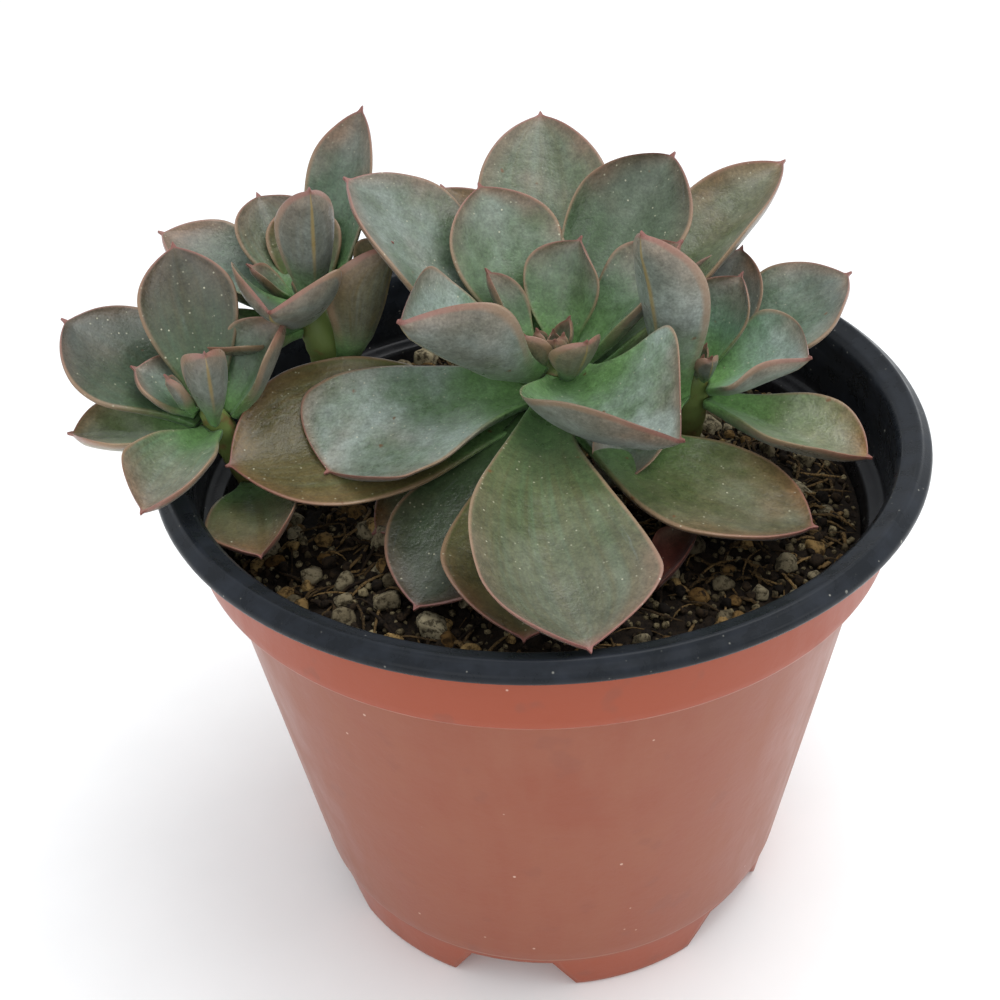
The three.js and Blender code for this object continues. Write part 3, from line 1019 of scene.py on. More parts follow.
@dataclass(frozen=True)
class TerracottaSheet:
    """Terracotta polypropylene sheet, thermoformed: smooth and softly glossy, cloudy where it was stretched
    over the mould, with a few scuffs and pale lines along its creases that are partly dust and partly painted
    highlight."""

    collar: str = "#964326"
    body: str = "#89442a"
    stretched: str = "#8e5139"
    # Pale colour of the crease lines, partly dust and partly painted highlight, and of the grit specks.
    pale_dust_and_highlight: str = "#d8b8a6"
    scuff: str = "#7f4431"
    collar_z: float = 81.5
    lip_z: float = 94.5
    band_z: float = 9.5
    roughness: float = 0.34

    def material(self) -> bpy.types.Material:
        """Makes the outside's material.

        Returns:
            The material.
        """
        material, tree, output = new_material("terracotta_polypropylene_thermoformed")
        place = add_node(tree, "ShaderNodeTexCoord").outputs["Object"]
        height = add_node(
            tree,
            "ShaderNodeMath",
            {0: add_node(tree, "ShaderNodeSeparateXYZ", {0: place}).outputs["Z"], 1: PER_MM},
            operation="MULTIPLY",
        ).outputs[0]
        cloud = add_node(
            tree,
            "ShaderNodeTexNoise",
            {"Vector": place, "Scale": PER_MM / 14, "Detail": 5.0, "Roughness": 0.62},
        )
        streaked = add_node(
            tree, "ShaderNodeMapping", {"Vector": place, "Scale": (1.0, 1.0, 0.16)}
        )
        streak = add_node(
            tree,
            "ShaderNodeTexNoise",
            {"Vector": streaked.outputs[0], "Scale": PER_MM / 5, "Detail": 4.0, "Roughness": 0.6},
        )
        hazy = add_node(
            tree,
            "ShaderNodeMath",
            {0: cloud.outputs["Fac"], 1: streak.outputs["Fac"]},
            operation="ADD",
        )
        hazy = add_node(
            tree, "ShaderNodeMapRange", {"Value": hazy.outputs[0], "From Min": 0.75, "From Max": 1.3}
        )
        colour = add_node(
            tree,
            "ShaderNodeMix",
            {0: hazy.outputs[0], 6: linear(self.body), 7: linear(self.stretched)},
            data_type="RGBA",
        )
        thick = add_node(
            tree,
            "ShaderNodeMapRange",
            {"Value": height, "From Min": self.collar_z - 0.8, "From Max": self.collar_z + 0.3},
            interpolation_type="SMOOTHSTEP",
        )
        colour = add_node(
            tree,
            "ShaderNodeMix",
            {0: thick.outputs[0], 6: colour.outputs[2], 7: linear(self.collar)},
            data_type="RGBA",
        )
        foot = add_node(
            tree,
            "ShaderNodeMapRange",
            {
                "Value": height,
                "From Min": self.band_z - 1.5,
                "From Max": self.band_z + 0.6,
                "To Min": 0.75,
                "To Max": 0.0,
            },
            interpolation_type="SMOOTHSTEP",
        )
        colour = add_node(
            tree,
            "ShaderNodeMix",
            {0: foot.outputs[0], 6: colour.outputs[2], 7: linear(self.collar)},
            data_type="RGBA",
        )
        # Pale lines are painted in the creases: at the collar's step, under the lip and above the foot band.
        # Each is partly dust and partly a painted highlight where the edge catches the light. Each line is
        # about a third of a millimetre wide and breaks up.
        for crease_z, width, strength in (
            (self.collar_z - 0.25, 0.5, 0.8),
            (self.lip_z - 0.35, 0.6, 0.85),
            (self.band_z + 0.3, 0.5, 0.5),
        ):
            away = add_node(tree, "ShaderNodeMath", {0: height, 1: crease_z}, operation="SUBTRACT")
            away = add_node(tree, "ShaderNodeMath", {0: away.outputs[0]}, operation="ABSOLUTE")
            line = add_node(
                tree,
                "ShaderNodeMapRange",
                {
                    "Value": away.outputs[0],
                    "From Min": 0.0,
                    "From Max": width,
                    "To Min": strength,
                    "To Max": 0.0,
                },
            )
            line = add_node(
                tree,
                "ShaderNodeMath",
                {
                    0: line.outputs[0],
                    1: add_node(
                        tree,
                        "ShaderNodeMapRange",
                        {"Value": streak.outputs["Fac"], "From Min": 0.35, "From Max": 0.6, "To Min": 0.25},
                    ).outputs[0],
                },
                operation="MULTIPLY",
            )
            colour = add_node(
                tree,
                "ShaderNodeMix",
                {0: line.outputs[0], 6: colour.outputs[2], 7: linear(self.pale_dust_and_highlight)},
                data_type="RGBA",
            )
        # Darker rubbed spots of 6 to 8 mm, and a few pale specks of grit.
        rub = add_node(
            tree,
            "ShaderNodeTexNoise",
            {"Vector": place, "Scale": PER_MM / 6.5, "Detail": 2.0, "Roughness": 0.5},
        )
        rubbed = add_node(
            tree,
            "ShaderNodeMapRange",
            {"Value": rub.outputs["Fac"], "From Min": 0.63, "From Max": 0.7, "To Max": 0.4},
        )
        colour = add_node(
            tree,
            "ShaderNodeMix",
            {0: rubbed.outputs[0], 6: colour.outputs[2], 7: linear(self.scuff)},
            data_type="RGBA",
        )
        specks = add_node(tree, "ShaderNodeTexVoronoi", {"Vector": place, "Scale": PER_MM / 7})
        speck = add_node(
            tree,
            "ShaderNodeMapRange",
            {
                "Value": specks.outputs["Distance"],
                "From Min": 0.028,
                "From Max": 0.045,
                "To Min": 0.7,
                "To Max": 0.0,
            },
        )
        colour = add_node(
            tree,
            "ShaderNodeMix",
            {0: speck.outputs[0], 6: colour.outputs[2], 7: linear(self.pale_dust_and_highlight)},
            data_type="RGBA",
        )
        gloss = add_node(
            tree,
            "ShaderNodeMapRange",
            {
                "Value": hazy.outputs[0],
                "To Min": self.roughness - 0.06,
                "To Max": self.roughness + 0.1,
            },
        )
        orange_peel = add_node(
            tree, "ShaderNodeTexNoise", {"Vector": place, "Scale": PER_MM / 1.1, "Detail": 2.0}
        )
        bump = add_node(
            tree,
            "ShaderNodeBump",
            {"Strength": 0.12, "Distance": 0.1 * MM, "Height": orange_peel.outputs["Fac"]},
        )
        bump = add_node(
            tree,
            "ShaderNodeBump",
            {
                "Strength": 0.5,
                "Distance": 0.35 * MM,
                "Height": cloud.outputs["Fac"],
                "Normal": bump.outputs["Normal"],
            },
        )
        shader = add_node(
            tree,
            "ShaderNodeBsdfPrincipled",
            {
                "Base Color": colour.outputs[2],
                "Roughness": gloss.outputs[0],
                "IOR": 1.49,
                "Specular IOR Level": 0.38,
                "Normal": bump.outputs["Normal"],
            },
        )
        tree.links.new(shader.outputs[0], output.inputs["Surface"])
        return material


@dataclass(frozen=True)
class BlackSheet:
    """Blue-black polypropylene sheet, thermoformed: the pot's inside and lip, satin, greyer in cloudy
    rubbed patches, muddy near the soil and sprinkled with dust."""

    sheet: str = "#191c20"
    rubbed: str = "#262a31"
    dust: str = "#a9a79c"
    mud: str = "#2a221a"
    soil_z: float = 80.0
    roughness: float = 0.28

    def material(self) -> bpy.types.Material:
        """Makes the inside's material.

        Returns:
            The material.
        """
        material, tree, output = new_material("blue_black_polypropylene_thermoformed")
        place = add_node(tree, "ShaderNodeTexCoord").outputs["Object"]
        height = add_node(
            tree,
            "ShaderNodeMath",
            {0: add_node(tree, "ShaderNodeSeparateXYZ", {0: place}).outputs["Z"], 1: PER_MM},
            operation="MULTIPLY",
        ).outputs[0]
        cloud = add_node(
            tree,
            "ShaderNodeTexNoise",
            {"Vector": place, "Scale": PER_MM / 6, "Detail": 6.0, "Roughness": 0.65},
        )
        worn = add_node(
            tree,
            "ShaderNodeMapRange",
            {"Value": cloud.outputs["Fac"], "From Min": 0.42, "From Max": 0.75, "To Max": 0.9},
        )
        colour = add_node(
            tree,
            "ShaderNodeMix",
            {0: worn.outputs[0], 6: linear(self.sheet), 7: linear(self.rubbed)},
            data_type="RGBA",
        )
        muddy = add_node(
            tree,
            "ShaderNodeMapRange",
            {
                "Value": height,
                "From Min": self.soil_z,
                "From Max": self.soil_z + 6,
                "To Min": 0.7,
                "To Max": 0.0,
            },
        )
        muddy = add_node(
            tree, "ShaderNodeMath", {0: muddy.outputs[0], 1: cloud.outputs["Fac"]}, operation="MULTIPLY"
        )
        colour = add_node(
            tree,
            "ShaderNodeMix",
            {0: muddy.outputs[0], 6: colour.outputs[2], 7: linear(self.mud)},
            data_type="RGBA",
        )
        # Dust specks of two sizes, about 0.5 mm and 0.3 mm.
        for gap, near, far, strength in ((6.0, 0.03, 0.055, 0.8), (2.2, 0.05, 0.09, 0.5)):
            specks = add_node(tree, "ShaderNodeTexVoronoi", {"Vector": place, "Scale": PER_MM / gap})
            speck = add_node(
                tree,
                "ShaderNodeMapRange",
                {
                    "Value": specks.outputs["Distance"],
                    "From Min": near,
                    "From Max": far,
                    "To Min": strength,
                    "To Max": 0.0,
                },
            )
            speck = add_node(
                tree,
                "ShaderNodeMath",
                {
                    0: speck.outputs[0],
                    1: add_node(
                        tree,
                        "ShaderNodeMapRange",
                        {"Value": cloud.outputs["Fac"], "From Min": 0.4, "From Max": 0.55},
                    ).outputs[0],
                },
                operation="MULTIPLY",
            )
            colour = add_node(
                tree,
                "ShaderNodeMix",
                {0: speck.outputs[0], 6: colour.outputs[2], 7: linear(self.dust)},
                data_type="RGBA",
            )
        gloss = add_node(
            tree,
            "ShaderNodeMapRange",
            {
                "Value": cloud.outputs["Fac"],
                "From Min": 0.35,
                "From Max": 0.7,
                "To Min": self.roughness - 0.08,
                "To Max": self.roughness + 0.14,
            },
        )
        bump = add_node(
            tree,
            "ShaderNodeBump",
            {"Strength": 0.3, "Distance": 0.2 * MM, "Height": cloud.outputs["Fac"]},
        )
        shader = add_node(
            tree,
            "ShaderNodeBsdfPrincipled",
            {
                "Base Color": colour.outputs[2],
                "Roughness": gloss.outputs[0],
                "IOR": 1.49,
                "Specular IOR Level": 0.15,
                "Normal": bump.outputs["Normal"],
            },
        )
        tree.links.new(shader.outputs[0], output.inputs["Surface"])
        return material


@dataclass(frozen=True)
class Earth:
    """A loose, matt, broken-up mineral or plant matter that has been sieved and potted.

    The pieces differ in shade from one to the next (their own "tone") and hold dark dirt in their pores.

    Attributes:
        name: The material's name.
        dark: The colour of the darkest pieces.
        light: The colour of the lightest pieces.
        dirt: What fills the pores.
        pore_mm: The width of one pore.
        dirt_share: How much of the surface the dirt covers, from 0 to 1.
        relief_mm: The depth of the pores.
    """

    name: str
    dark: str
    light: str
    dirt: str
    pore_mm: float
    dirt_share: float
    relief_mm: float

    def material(self) -> bpy.types.Material:
        """Makes the material.

        Returns:
            The material.
        """
        material, tree, output = new_material(self.name)
        place = add_node(tree, "ShaderNodeTexCoord").outputs["Object"]
        tone = add_node(tree, "ShaderNodeAttribute", attribute_name="tone").outputs["Fac"]
        pores = add_node(
            tree,
            "ShaderNodeTexNoise",
            {"Vector": place, "Scale": PER_MM / self.pore_mm, "Detail": 6.0, "Roughness": 0.7},
        )
        patch = add_node(
            tree, "ShaderNodeTexNoise", {"Vector": place, "Scale": PER_MM / (self.pore_mm * 5), "Detail": 3.0}
        )
        shade = add_node(
            tree, "ShaderNodeMath", {0: patch.outputs["Fac"], 1: 0.6, 2: -0.3}, operation="MULTIPLY_ADD"
        )
        shade = add_node(
            tree, "ShaderNodeMath", {0: shade.outputs[0], 1: tone}, operation="ADD", use_clamp=True
        )
        colour = add_node(
            tree,
            "ShaderNodeMix",
            {0: shade.outputs[0], 6: linear(self.dark), 7: linear(self.light)},
            data_type="RGBA",
        )
        dirty = add_node(
            tree,
            "ShaderNodeMapRange",
            {
                "Value": pores.outputs["Fac"],
                "From Min": 0.3 + 0.3 * self.dirt_share,
                "From Max": 0.42 + 0.3 * self.dirt_share,
                "To Min": 0.85,
                "To Max": 0.0,
            },
        )
        colour = add_node(
            tree,
            "ShaderNodeMix",
            {0: dirty.outputs[0], 6: colour.outputs[2], 7: linear(self.dirt)},
            data_type="RGBA",
        )
        bump = add_node(
            tree,
            "ShaderNodeBump",
            {"Strength": 0.8, "Distance": self.relief_mm * MM, "Height": pores.outputs["Fac"]},
        )
        shader = add_node(
            tree,
            "ShaderNodeBsdfPrincipled",
            {
                "Base Color": colour.outputs[2],
                "Roughness": 0.9,
                "IOR": 1.45,
                "Specular IOR Level": 0.25,
                "Normal": bump.outputs["Normal"],
            },
        )
        tree.links.new(shader.outputs[0], output.inputs["Surface"])
        return material


# ---- The pieces ----


@dataclass
class Blade:
    """Builds the closed mesh of one leaf.

    Attributes:
        form: The leaf's shape.
        foot: Where its foot is, in millimetres.
        seed: Makes its small irregularities its own.
        rings: How many sections it has along its length.
        across: How many points each face has across.
        point_mm: How long the small hard point at its tip is.
    """

    form: LeafForm
    foot: np.ndarray
    seed: int
    rings: int = 52
    across: int = 23
    point_mm: float = 0.9

    def width_share(self, s: np.ndarray) -> np.ndarray:
        """Half the blade's width as a share of its widest: a narrow foot, a shoulder, a short point.

        Args:
            s: Places along the leaf, from 0 to 1.

        Returns:
            The share at each place.
        """
        shoulder = self.form.shoulder
        growing = 0.26 + 0.74 * np.sin(np.pi / 2 * np.clip(s / shoulder, 0, 1)) ** self.form.neck
        u = np.clip((s - shoulder) / (1 - shoulder), 0, 1)
        return np.where(s < shoulder, growing, np.maximum(0.012, (1 - u**2.1) ** 0.8))

    def build(self, materials: list[bpy.types.Material], name: str) -> bpy.types.Object:
        """Builds the leaf's mesh.

        Args:
            materials: Its material slots.
            name: The object's name.

        Returns:
            The leaf.
        """
        form = self.form
        rng = np.random.default_rng(self.seed)
        v = np.linspace(0, 1, self.rings)
        s = 1 - (1 - v) ** 1.45
        mid = np.concatenate([[0.0], (s[1:] + s[:-1]) / 2])
        climb = np.radians(form.rise + form.curl * (mid - 0.5))
        swing = form.az + form.yaw * (mid - 0.5)
        forward = heading(swing) * np.cos(climb)[:, None]
        forward[:, 2] = np.sin(climb)
        steps = np.diff(s, prepend=0.0)[:, None] * form.long
        spine = self.foot + np.cumsum(forward * steps, 0)
        side = heading(swing + 90)
        turn = math.radians(-form.roll)
        side = side * math.cos(turn) + np.cross(forward, side) * math.sin(turn)
        up = np.cross(forward, side)
        up /= np.linalg.norm(up, axis=1)[:, None]

        blade_end = 1 - self.point_mm / form.long
        share = self.width_share(np.clip(s / blade_end, 0, 1))
        point = np.clip((1 - s) / (1 - blade_end), 0, 1)
        half = np.maximum(form.wide / 2 * share, 0.5 * point**0.8)
        half[-1] = 0.02
        plump = 0.3 + 0.7 * (1 - s) ** 0.8
        thick = form.fat * plump * np.minimum(1, 0.4 + share)
        thick = np.minimum(thick, 0.2 + 1.6 * half)
        edge = np.minimum(0.35, 0.12 * thick)

        t = np.sin(np.linspace(-np.pi / 2, np.pi / 2, self.across))
        t_all = np.concatenate([t, t[::-1][1:-1]])
        top = np.concatenate([np.ones(self.across), np.zeros(self.across - 2)])
        fold = np.where(t_all < 0, form.fold[0], form.fold[1])
        spread = np.radians(fold)[None, :] * (0.55 + 0.45 * s)[:, None]
        a = np.abs(t_all)[None, :]
        lean = spread * a**0.6
        x = half[:, None] * t_all[None, :] * np.cos(lean)
        z = half[:, None] * a * np.sin(lean)
        body = thick[:, None] * np.clip(1 - a**2.4, 0, 1) ** 0.65
        rounding = edge[:, None] * np.sqrt(np.clip(1 - a**8, 0, 1))
        keel = 0.34 * thick[:, None] * np.exp(-((t_all[None, :] / 0.12) ** 2)) * (0.35 + 0.65 * s)[:, None]
        lift = np.where(top[None, :] > 0, 0.12 * body + rounding, -0.88 * body - rounding - 0.5 * keel)
        channel = -0.1 * thick[:, None] * np.exp(-((t_all[None, :] / 0.3) ** 2)) * (1 - s)[:, None]
        z = z + lift + np.where(top[None, :] > 0, channel, 0)
        # The margins wave slightly, each half in its own way.
        phase = rng.uniform(0, 2 * np.pi, 2)
        wave = np.where(
            t_all[None, :] < 0,
            np.sin(2 * np.pi * 1.7 * s[:, None] + phase[0]),
            np.sin(2 * np.pi * 1.4 * s[:, None] + phase[1]),
        )
        z = z + 0.045 * half[:, None] * wave * a**3
        # The upper face stands up a little along the margin, as a low rolled edge.
        rolled = np.exp(-(((1 - a) * half[:, None] - 0.5) ** 2) / 0.5)
        z = z + np.where(top[None, :] > 0, 0.22 * rolled * np.clip(half[:, None] / 5, 0, 1), 0)
        # The tip of a low leaf turns up by about a millimetre over the last fifth of the blade.
        if form.rise < 20:
            z = z + 0.022 * form.long * np.clip((s - 0.8) / 0.2, 0, 1)[:, None] ** 2
        points = spine[:, None, :] + side[:, None, :] * x[..., None] + up[:, None, :] * z[..., None]
        flat = points.reshape(-1, 3)
        dent = ripple(flat, 6.5, self.seed % 97) * 0.22 + ripple(flat, 15.0, self.seed % 89) * 0.4
        strength = np.repeat(np.clip(half / 4, 0, 1) * np.clip(s * 4, 0, 1), len(t_all))
        flat = flat + np.repeat(up, len(t_all), 0) * (dent * strength)[:, None]
        columns = len(t_all)
        count = len(flat)
        flat = np.vstack([flat, spine[:1], flat[-columns:].mean(0)[None]])
        faces = [list(f) for f in grid_faces(self.rings, columns)]
        for i in range(columns):
            ahead = (i + 1) % columns
            faces.append([ahead, i, count])
            last = count - columns
            faces.append([last + i, last + ahead, count + 1])
        faces = [f[::-1] for f in faces]

        def spread_out(values: np.ndarray, first: float, end: float) -> np.ndarray:
            """One number a point, with those of the foot's and the tip's middle points at the end."""
            return np.concatenate([np.broadcast_to(values, (self.rings, columns)).ravel(), [first, end]])

        edge_mm = (1 - a) * half[:, None]
        values = {
            "along": spread_out(s[:, None], 0, 1),
            "across": spread_out(t_all[None, :], 0, 0),
            "upper": spread_out(top[None, :] * 1.0, 0.5, 0.5),
            "edge_mm": spread_out(edge_mm, 3, 0),
            "age": np.full(count + 2, form.age),
            "wax": np.full(count + 2, form.bloom),
            "shade": np.full(count + 2, form.shade),
            "seed": np.full(count + 2, (self.seed % 53) * 0.37),
        }
        return make_object(name, flat, faces, materials, values)


@dataclass
class Crown:
    """A stem with its leaves.

    Attributes:
        form: The crown's sizes.
        soil_level: The height of the middle of the soil.
        depth: How far the stem reaches below it.
        gap: The gap between a leaf's foot and the stem in the CAD.
        bud_leaves: How many small leaves close the growing tip.
        bud_turn: The angle from one of them to the next, in degrees.
    """

    form: CrownForm
    soil_level: float = 83.5
    depth: float = 9.0
    gap: float = 0.3
    bud_leaves: int = 5
    bud_turn: float = 137.5

    @property
    def tip(self) -> np.ndarray:
        """The crown's tip."""
        return np.array([*self.form.tip[:2], self.soil_level + self.form.tip[2]], float)

    @property
    def foot(self) -> np.ndarray:
        """The stem's foot."""
        return np.array([*self.form.foot, self.soil_level - self.depth], float)

    def stem_radius(self, down: float) -> float:
        """The stem's radius so many millimetres below its tip."""
        share = min(1.0, max(0.0, down) / 8) ** 0.7
        return self.form.tip_radius + (self.form.radius - self.form.tip_radius) * share

    def stem_point(self, down: float) -> np.ndarray:
        """The point on the stem's middle line so many millimetres below its tip."""
        along = (self.tip - self.foot) / np.linalg.norm(self.tip - self.foot)
        return self.tip - along * down

    def leaf_foot(self, form: LeafForm) -> np.ndarray:
        """Where a leaf starts, on the skin of the stem."""
        return self.stem_point(-form.at) + heading(form.az) * (self.stem_radius(-form.at) + self.gap)

    def build_stem(self, material: bpy.types.Material) -> bpy.types.Object:
        """Builds the stem with the ridges of its old leaf scars.

        Args:
            material: The stem's skin.

        Returns:
            The stem.
        """
        length = float(np.linalg.norm(self.tip - self.foot))
        downs = np.concatenate([np.linspace(length, 3, 30), [2.2, 1.5, 0.9, 0.45, 0.15, 0.0]])
        columns = 28
        angles = np.arange(columns) * 360 / columns
        rings = []
        for down in downs:
            dome = math.sqrt(min(1.0, down / 2.2)) * 0.85 + 0.15 if down < 2.2 else 1.0
            scars = 0.035 * np.sin(down * 2.1 + np.radians(angles) * 2) * (down > 3)
            radius = self.stem_radius(down) * dome * (1 + scars)
            rings.append(self.stem_point(down) + heading(angles) * radius[:, None])
        flat = np.vstack(rings)
        count = len(flat)
        flat = np.vstack([flat, self.foot[None], self.tip[None]])
        faces = [list(f) for f in grid_faces(len(downs), columns)]
        for i in range(columns):
            ahead = (i + 1) % columns
            faces.append([ahead, i, count])
            faces.append([count - columns + i, count - columns + ahead, count + 1])
        along = np.concatenate([np.repeat(1 - downs / length, columns), [0, 1]])
        return make_object(f"stem_{self.form.name}_skin", flat, faces, [material], {"along": along})

    def build_bud(self, skin: bpy.types.Material) -> None:
        """Builds the growing tip: small unopened leaves that close over the end of the stem.

        Args:
            skin: Their leaf skin.
        """
        size = self.form.tip_radius
        for number in range(self.bud_leaves):
            inner = number / (self.bud_leaves - 1)
            leaf = LeafForm(
                f"bud_{number}", self.bud_turn * number, 62 + 20 * inner, (2.9 - 0.9 * inner) * size,
                (1.9 - 0.5 * inner) * size, -0.6, curl=24, fold=(44, 44), fat=0.62 * size,
                shoulder=0.55, age=0.45, shade=1.1, bloom=0.35,
            )
            foot = self.tip + heading(leaf.az) * size * (0.62 - 0.5 * inner) - np.array([0, 0, 0.35 * size])
            blade = Blade(leaf, foot, 701 + 13 * number, rings=26, across=11, point_mm=0.6)
            settle(blade.build([skin], f"bud_{self.form.name}_{number + 1}"), Skin.MAUVE.value)

    def build(self, skins: dict[Skin, bpy.types.Material], stem_skin: bpy.types.Material) -> None:
        """Builds the stem and every leaf, and ties them to the frame.

        Args:
            skins: The leaf materials.
            stem_skin: The stem's material.
        """
        settle(self.build_stem(stem_skin), "green_stem", f"stem_{self.form.name}")
        self.build_bud(skins[Skin.MAUVE])
        for number, leaf in enumerate(self.form.leaves):
            node = f"leaf_{self.form.name}_{leaf.name}"
            old = "low" in leaf.name or "under" in leaf.name
            skin = Skin.OLIVE if old else Skin.GREEN if self.form.name == "main" else Skin.MAUVE
            seed = 101 + 37 * number + 1009 * len(self.form.name) + ord(self.form.name[0])
            blade = Blade(leaf, self.leaf_foot(leaf), seed)
            settle(blade.build([skins[skin]], f"{node}_blade"), skin.value, node)


@dataclass
class FallenLeaf:
    """The dried leaf that lies on the soil at the front right."""

    form: LeafForm
    foot: tuple[float, float, float] = (17.0, -34.0, 86.1)

    def build(self, skin: bpy.types.Material) -> None:
        """Builds the dried leaf and ties it to the frame.

        Args:
            skin: Its material.
        """
        blade = Blade(self.form, np.array(self.foot), 911, rings=36, across=15)
        settle(blade.build([skin], "leaf_fallen_blade"), Skin.DRY.value, "leaf_fallen")


@dataclass
class Pot:
    """The thermoformed nursery pot: one sheet, terracotta outside and blue-black inside.

    Attributes:
        radius: The collar's outside just under the lip.
        height: The pot's height.
        base: The radius at the foot.
        wall: The sheet's thickness.
        lip_width: How far the lip stands out.
        lip_depth: How far it hangs down.
        collar_height: The collar's height from the rim down.
        collar_taper: How much the collar narrows to its foot.
        step: How far the collar stands out from the body.
        band: The height of the foot band.
        inset: How far the foot band is set in.
        notches: How many recesses are between the feet.
        notch_azimuth: Where the first recess is.
        notch_height: How high a recess is.
        notch_top: A recess's half width at its top.
        notch_foot: A recess's half width on the ground.
        notch_depth: How deep a recess is.
        drain: The radius of the drain hole in each recess.
    """

    radius: float = 60.4
    height: float = 97.5
    base: float = 44.0
    wall: float = 1.0
    lip_width: float = 4.6
    lip_depth: float = 3.0
    collar_height: float = 16.0
    collar_taper: float = 0.4
    step: float = 3.0
    band: float = 9.5
    inset: float = 0.5
    notches: int = 6
    notch_azimuth: float = -10.0
    notch_height: float = 8.5
    notch_top: float = 7.0
    notch_foot: float = 11.5
    notch_depth: float = 12.0
    drain: float = 2.2

    def body_radius(self, z: float) -> float:
        """The outside's radius at a height below the collar."""
        top = self.radius - self.collar_taper - self.step
        return self.base + (top - self.base) * z / (self.height - self.collar_height)

    def outside(self) -> list[tuple[float, float]]:
        """The outside's rows from the ground up to the lip's root, as radius and height."""
        collar_z = self.height - self.collar_height
        collar = self.radius - self.collar_taper
        rows = []
        for z in (0.0, 0.25, 0.7, 1.6, 3.0, 4.5, 6.0, 7.2, 7.9, 8.15, 8.35, 8.5, 8.8, 9.2):
            rounding = 0.55 * max(0.0, 1 - z / 0.7) ** 2
            rows.append((self.body_radius(z) - self.inset - rounding, z))
        rows.append((self.body_radius(self.band) - self.inset + 0.03, self.band))
        rows.append((self.body_radius(self.band) - self.inset * 0.5, self.band + 0.28))
        rows.append((self.body_radius(self.band) - 0.02, self.band + 0.6))
        for z in np.linspace(self.band + 1.2, collar_z - 1.4, 30):
            rows.append((self.body_radius(z), float(z)))
        neck = self.body_radius(collar_z)
        rows += [
            (neck - 0.02, collar_z - 0.9),
            (neck + 0.25, collar_z - 0.62),
            (neck + 1.2, collar_z - 0.36),
            (collar - 0.5, collar_z - 0.16),
            (collar - 0.12, collar_z + 0.02),
            (collar, collar_z + 0.4),
        ]
        for z in np.linspace(collar_z + 1.6, self.height - self.lip_depth - 0.9, 9):
            share = (z - collar_z) / (self.height - self.lip_depth - collar_z)
            rows.append((collar + (self.radius - collar) * share, float(z)))
        rows.append((self.radius + 0.02, self.height - self.lip_depth - 0.15))
        return rows

    def lip(self) -> list[tuple[float, float]]:
        """The lip's rows, from its root round the crest to its inner edge, as radius and height."""
        rim, top = self.radius + self.lip_width, self.height
        low = top - self.lip_depth
        return [
            (self.radius + 0.35, low + 0.02),
            (self.radius + 2.0, low),
            (rim - 0.9, low),
            (rim - 0.45, low + 0.07),
            (rim - 0.12, low + 0.3),
            (rim, low + 0.65),
            (rim, low + 1.0),
            (rim - 0.06, low + 1.35),
            (rim - 0.25, top - 1.32),
            (rim - 0.5, top - 1.12),
            (rim - 1.35, top - 0.6),
            (rim - 1.62, top - 0.38),
            (rim - 1.82, top - 0.12),
            (rim - 2.02, top - 0.02),
            (rim - 2.25, top),
            (rim - 2.5, top - 0.05),
            (rim - 2.75, top - 0.18),
            (rim - 3.1, top - 0.34),
            (rim - 4.3, top - 0.72),
            (rim - 4.75, top - 0.88),
            (rim - 5.0, top - 1.05),
            (rim - 5.15, top - 1.35),
        ]

    def inside(self) -> list[tuple[float, float]]:
        """The inside's rows from the lip's inner edge down to the floor, as radius and height."""
        collar_z = self.height - self.collar_height
        collar = self.radius - self.collar_taper - self.wall
        neck = self.body_radius(collar_z) - self.wall
        rows = [
            (collar + 0.3, self.height - 1.9),
            (collar + 0.28, self.height - 4.0),
            (collar + 0.3, self.height - 6.2),
            (collar + 0.12, self.height - 6.55),
            (collar + 0.1, self.height - 8.5),
            (collar + 0.05, self.height - 11.0),
            (collar + 0.02, collar_z + 2.2),
            (collar - 0.05, collar_z + 1.35),
            (collar - 0.4, collar_z + 0.95),
            (collar - 1.2, collar_z + 0.72),
            (neck + 0.5, collar_z + 0.45),
            (neck + 0.06, collar_z + 0.1),
            (neck - 0.02, collar_z - 0.5),
        ]
        for z in (78.0, 70.0, 60.0, 50.0, 40.0, 30.0, 20.0):
            rows.append((self.body_radius(z) - self.wall, z))
        for z in (9.9, 9.7, 9.5, 9.35, 9.1, 8.6, 7.0, 5.0, 3.0, self.wall):
            rows.append((self.body_radius(z) - self.inset - self.wall, z))
        return rows

    def build(self, outside: bpy.types.Material, inside: bpy.types.Material) -> None:
        """Builds the pot and ties it to the frame.

        Args:
            outside: The outside's finish.
            inside: The inside's and the lip's finish.
        """
        within = np.array([0, 0.25, 0.5, 0.75, 0.93, 0.965, 0.985, 1.0, 1.03])
        within = np.concatenate([-within[:0:-1], within])
        beyond = 20
        sector = 360 / self.notches
        out_rows, lip_rows, in_rows = self.outside(), self.lip(), self.inside()
        floor_shares = (0.0, 0.2, 0.45, 0.7, 0.88, 0.97)
        rings: list[np.ndarray] = []
        kinds: list[Face] = []

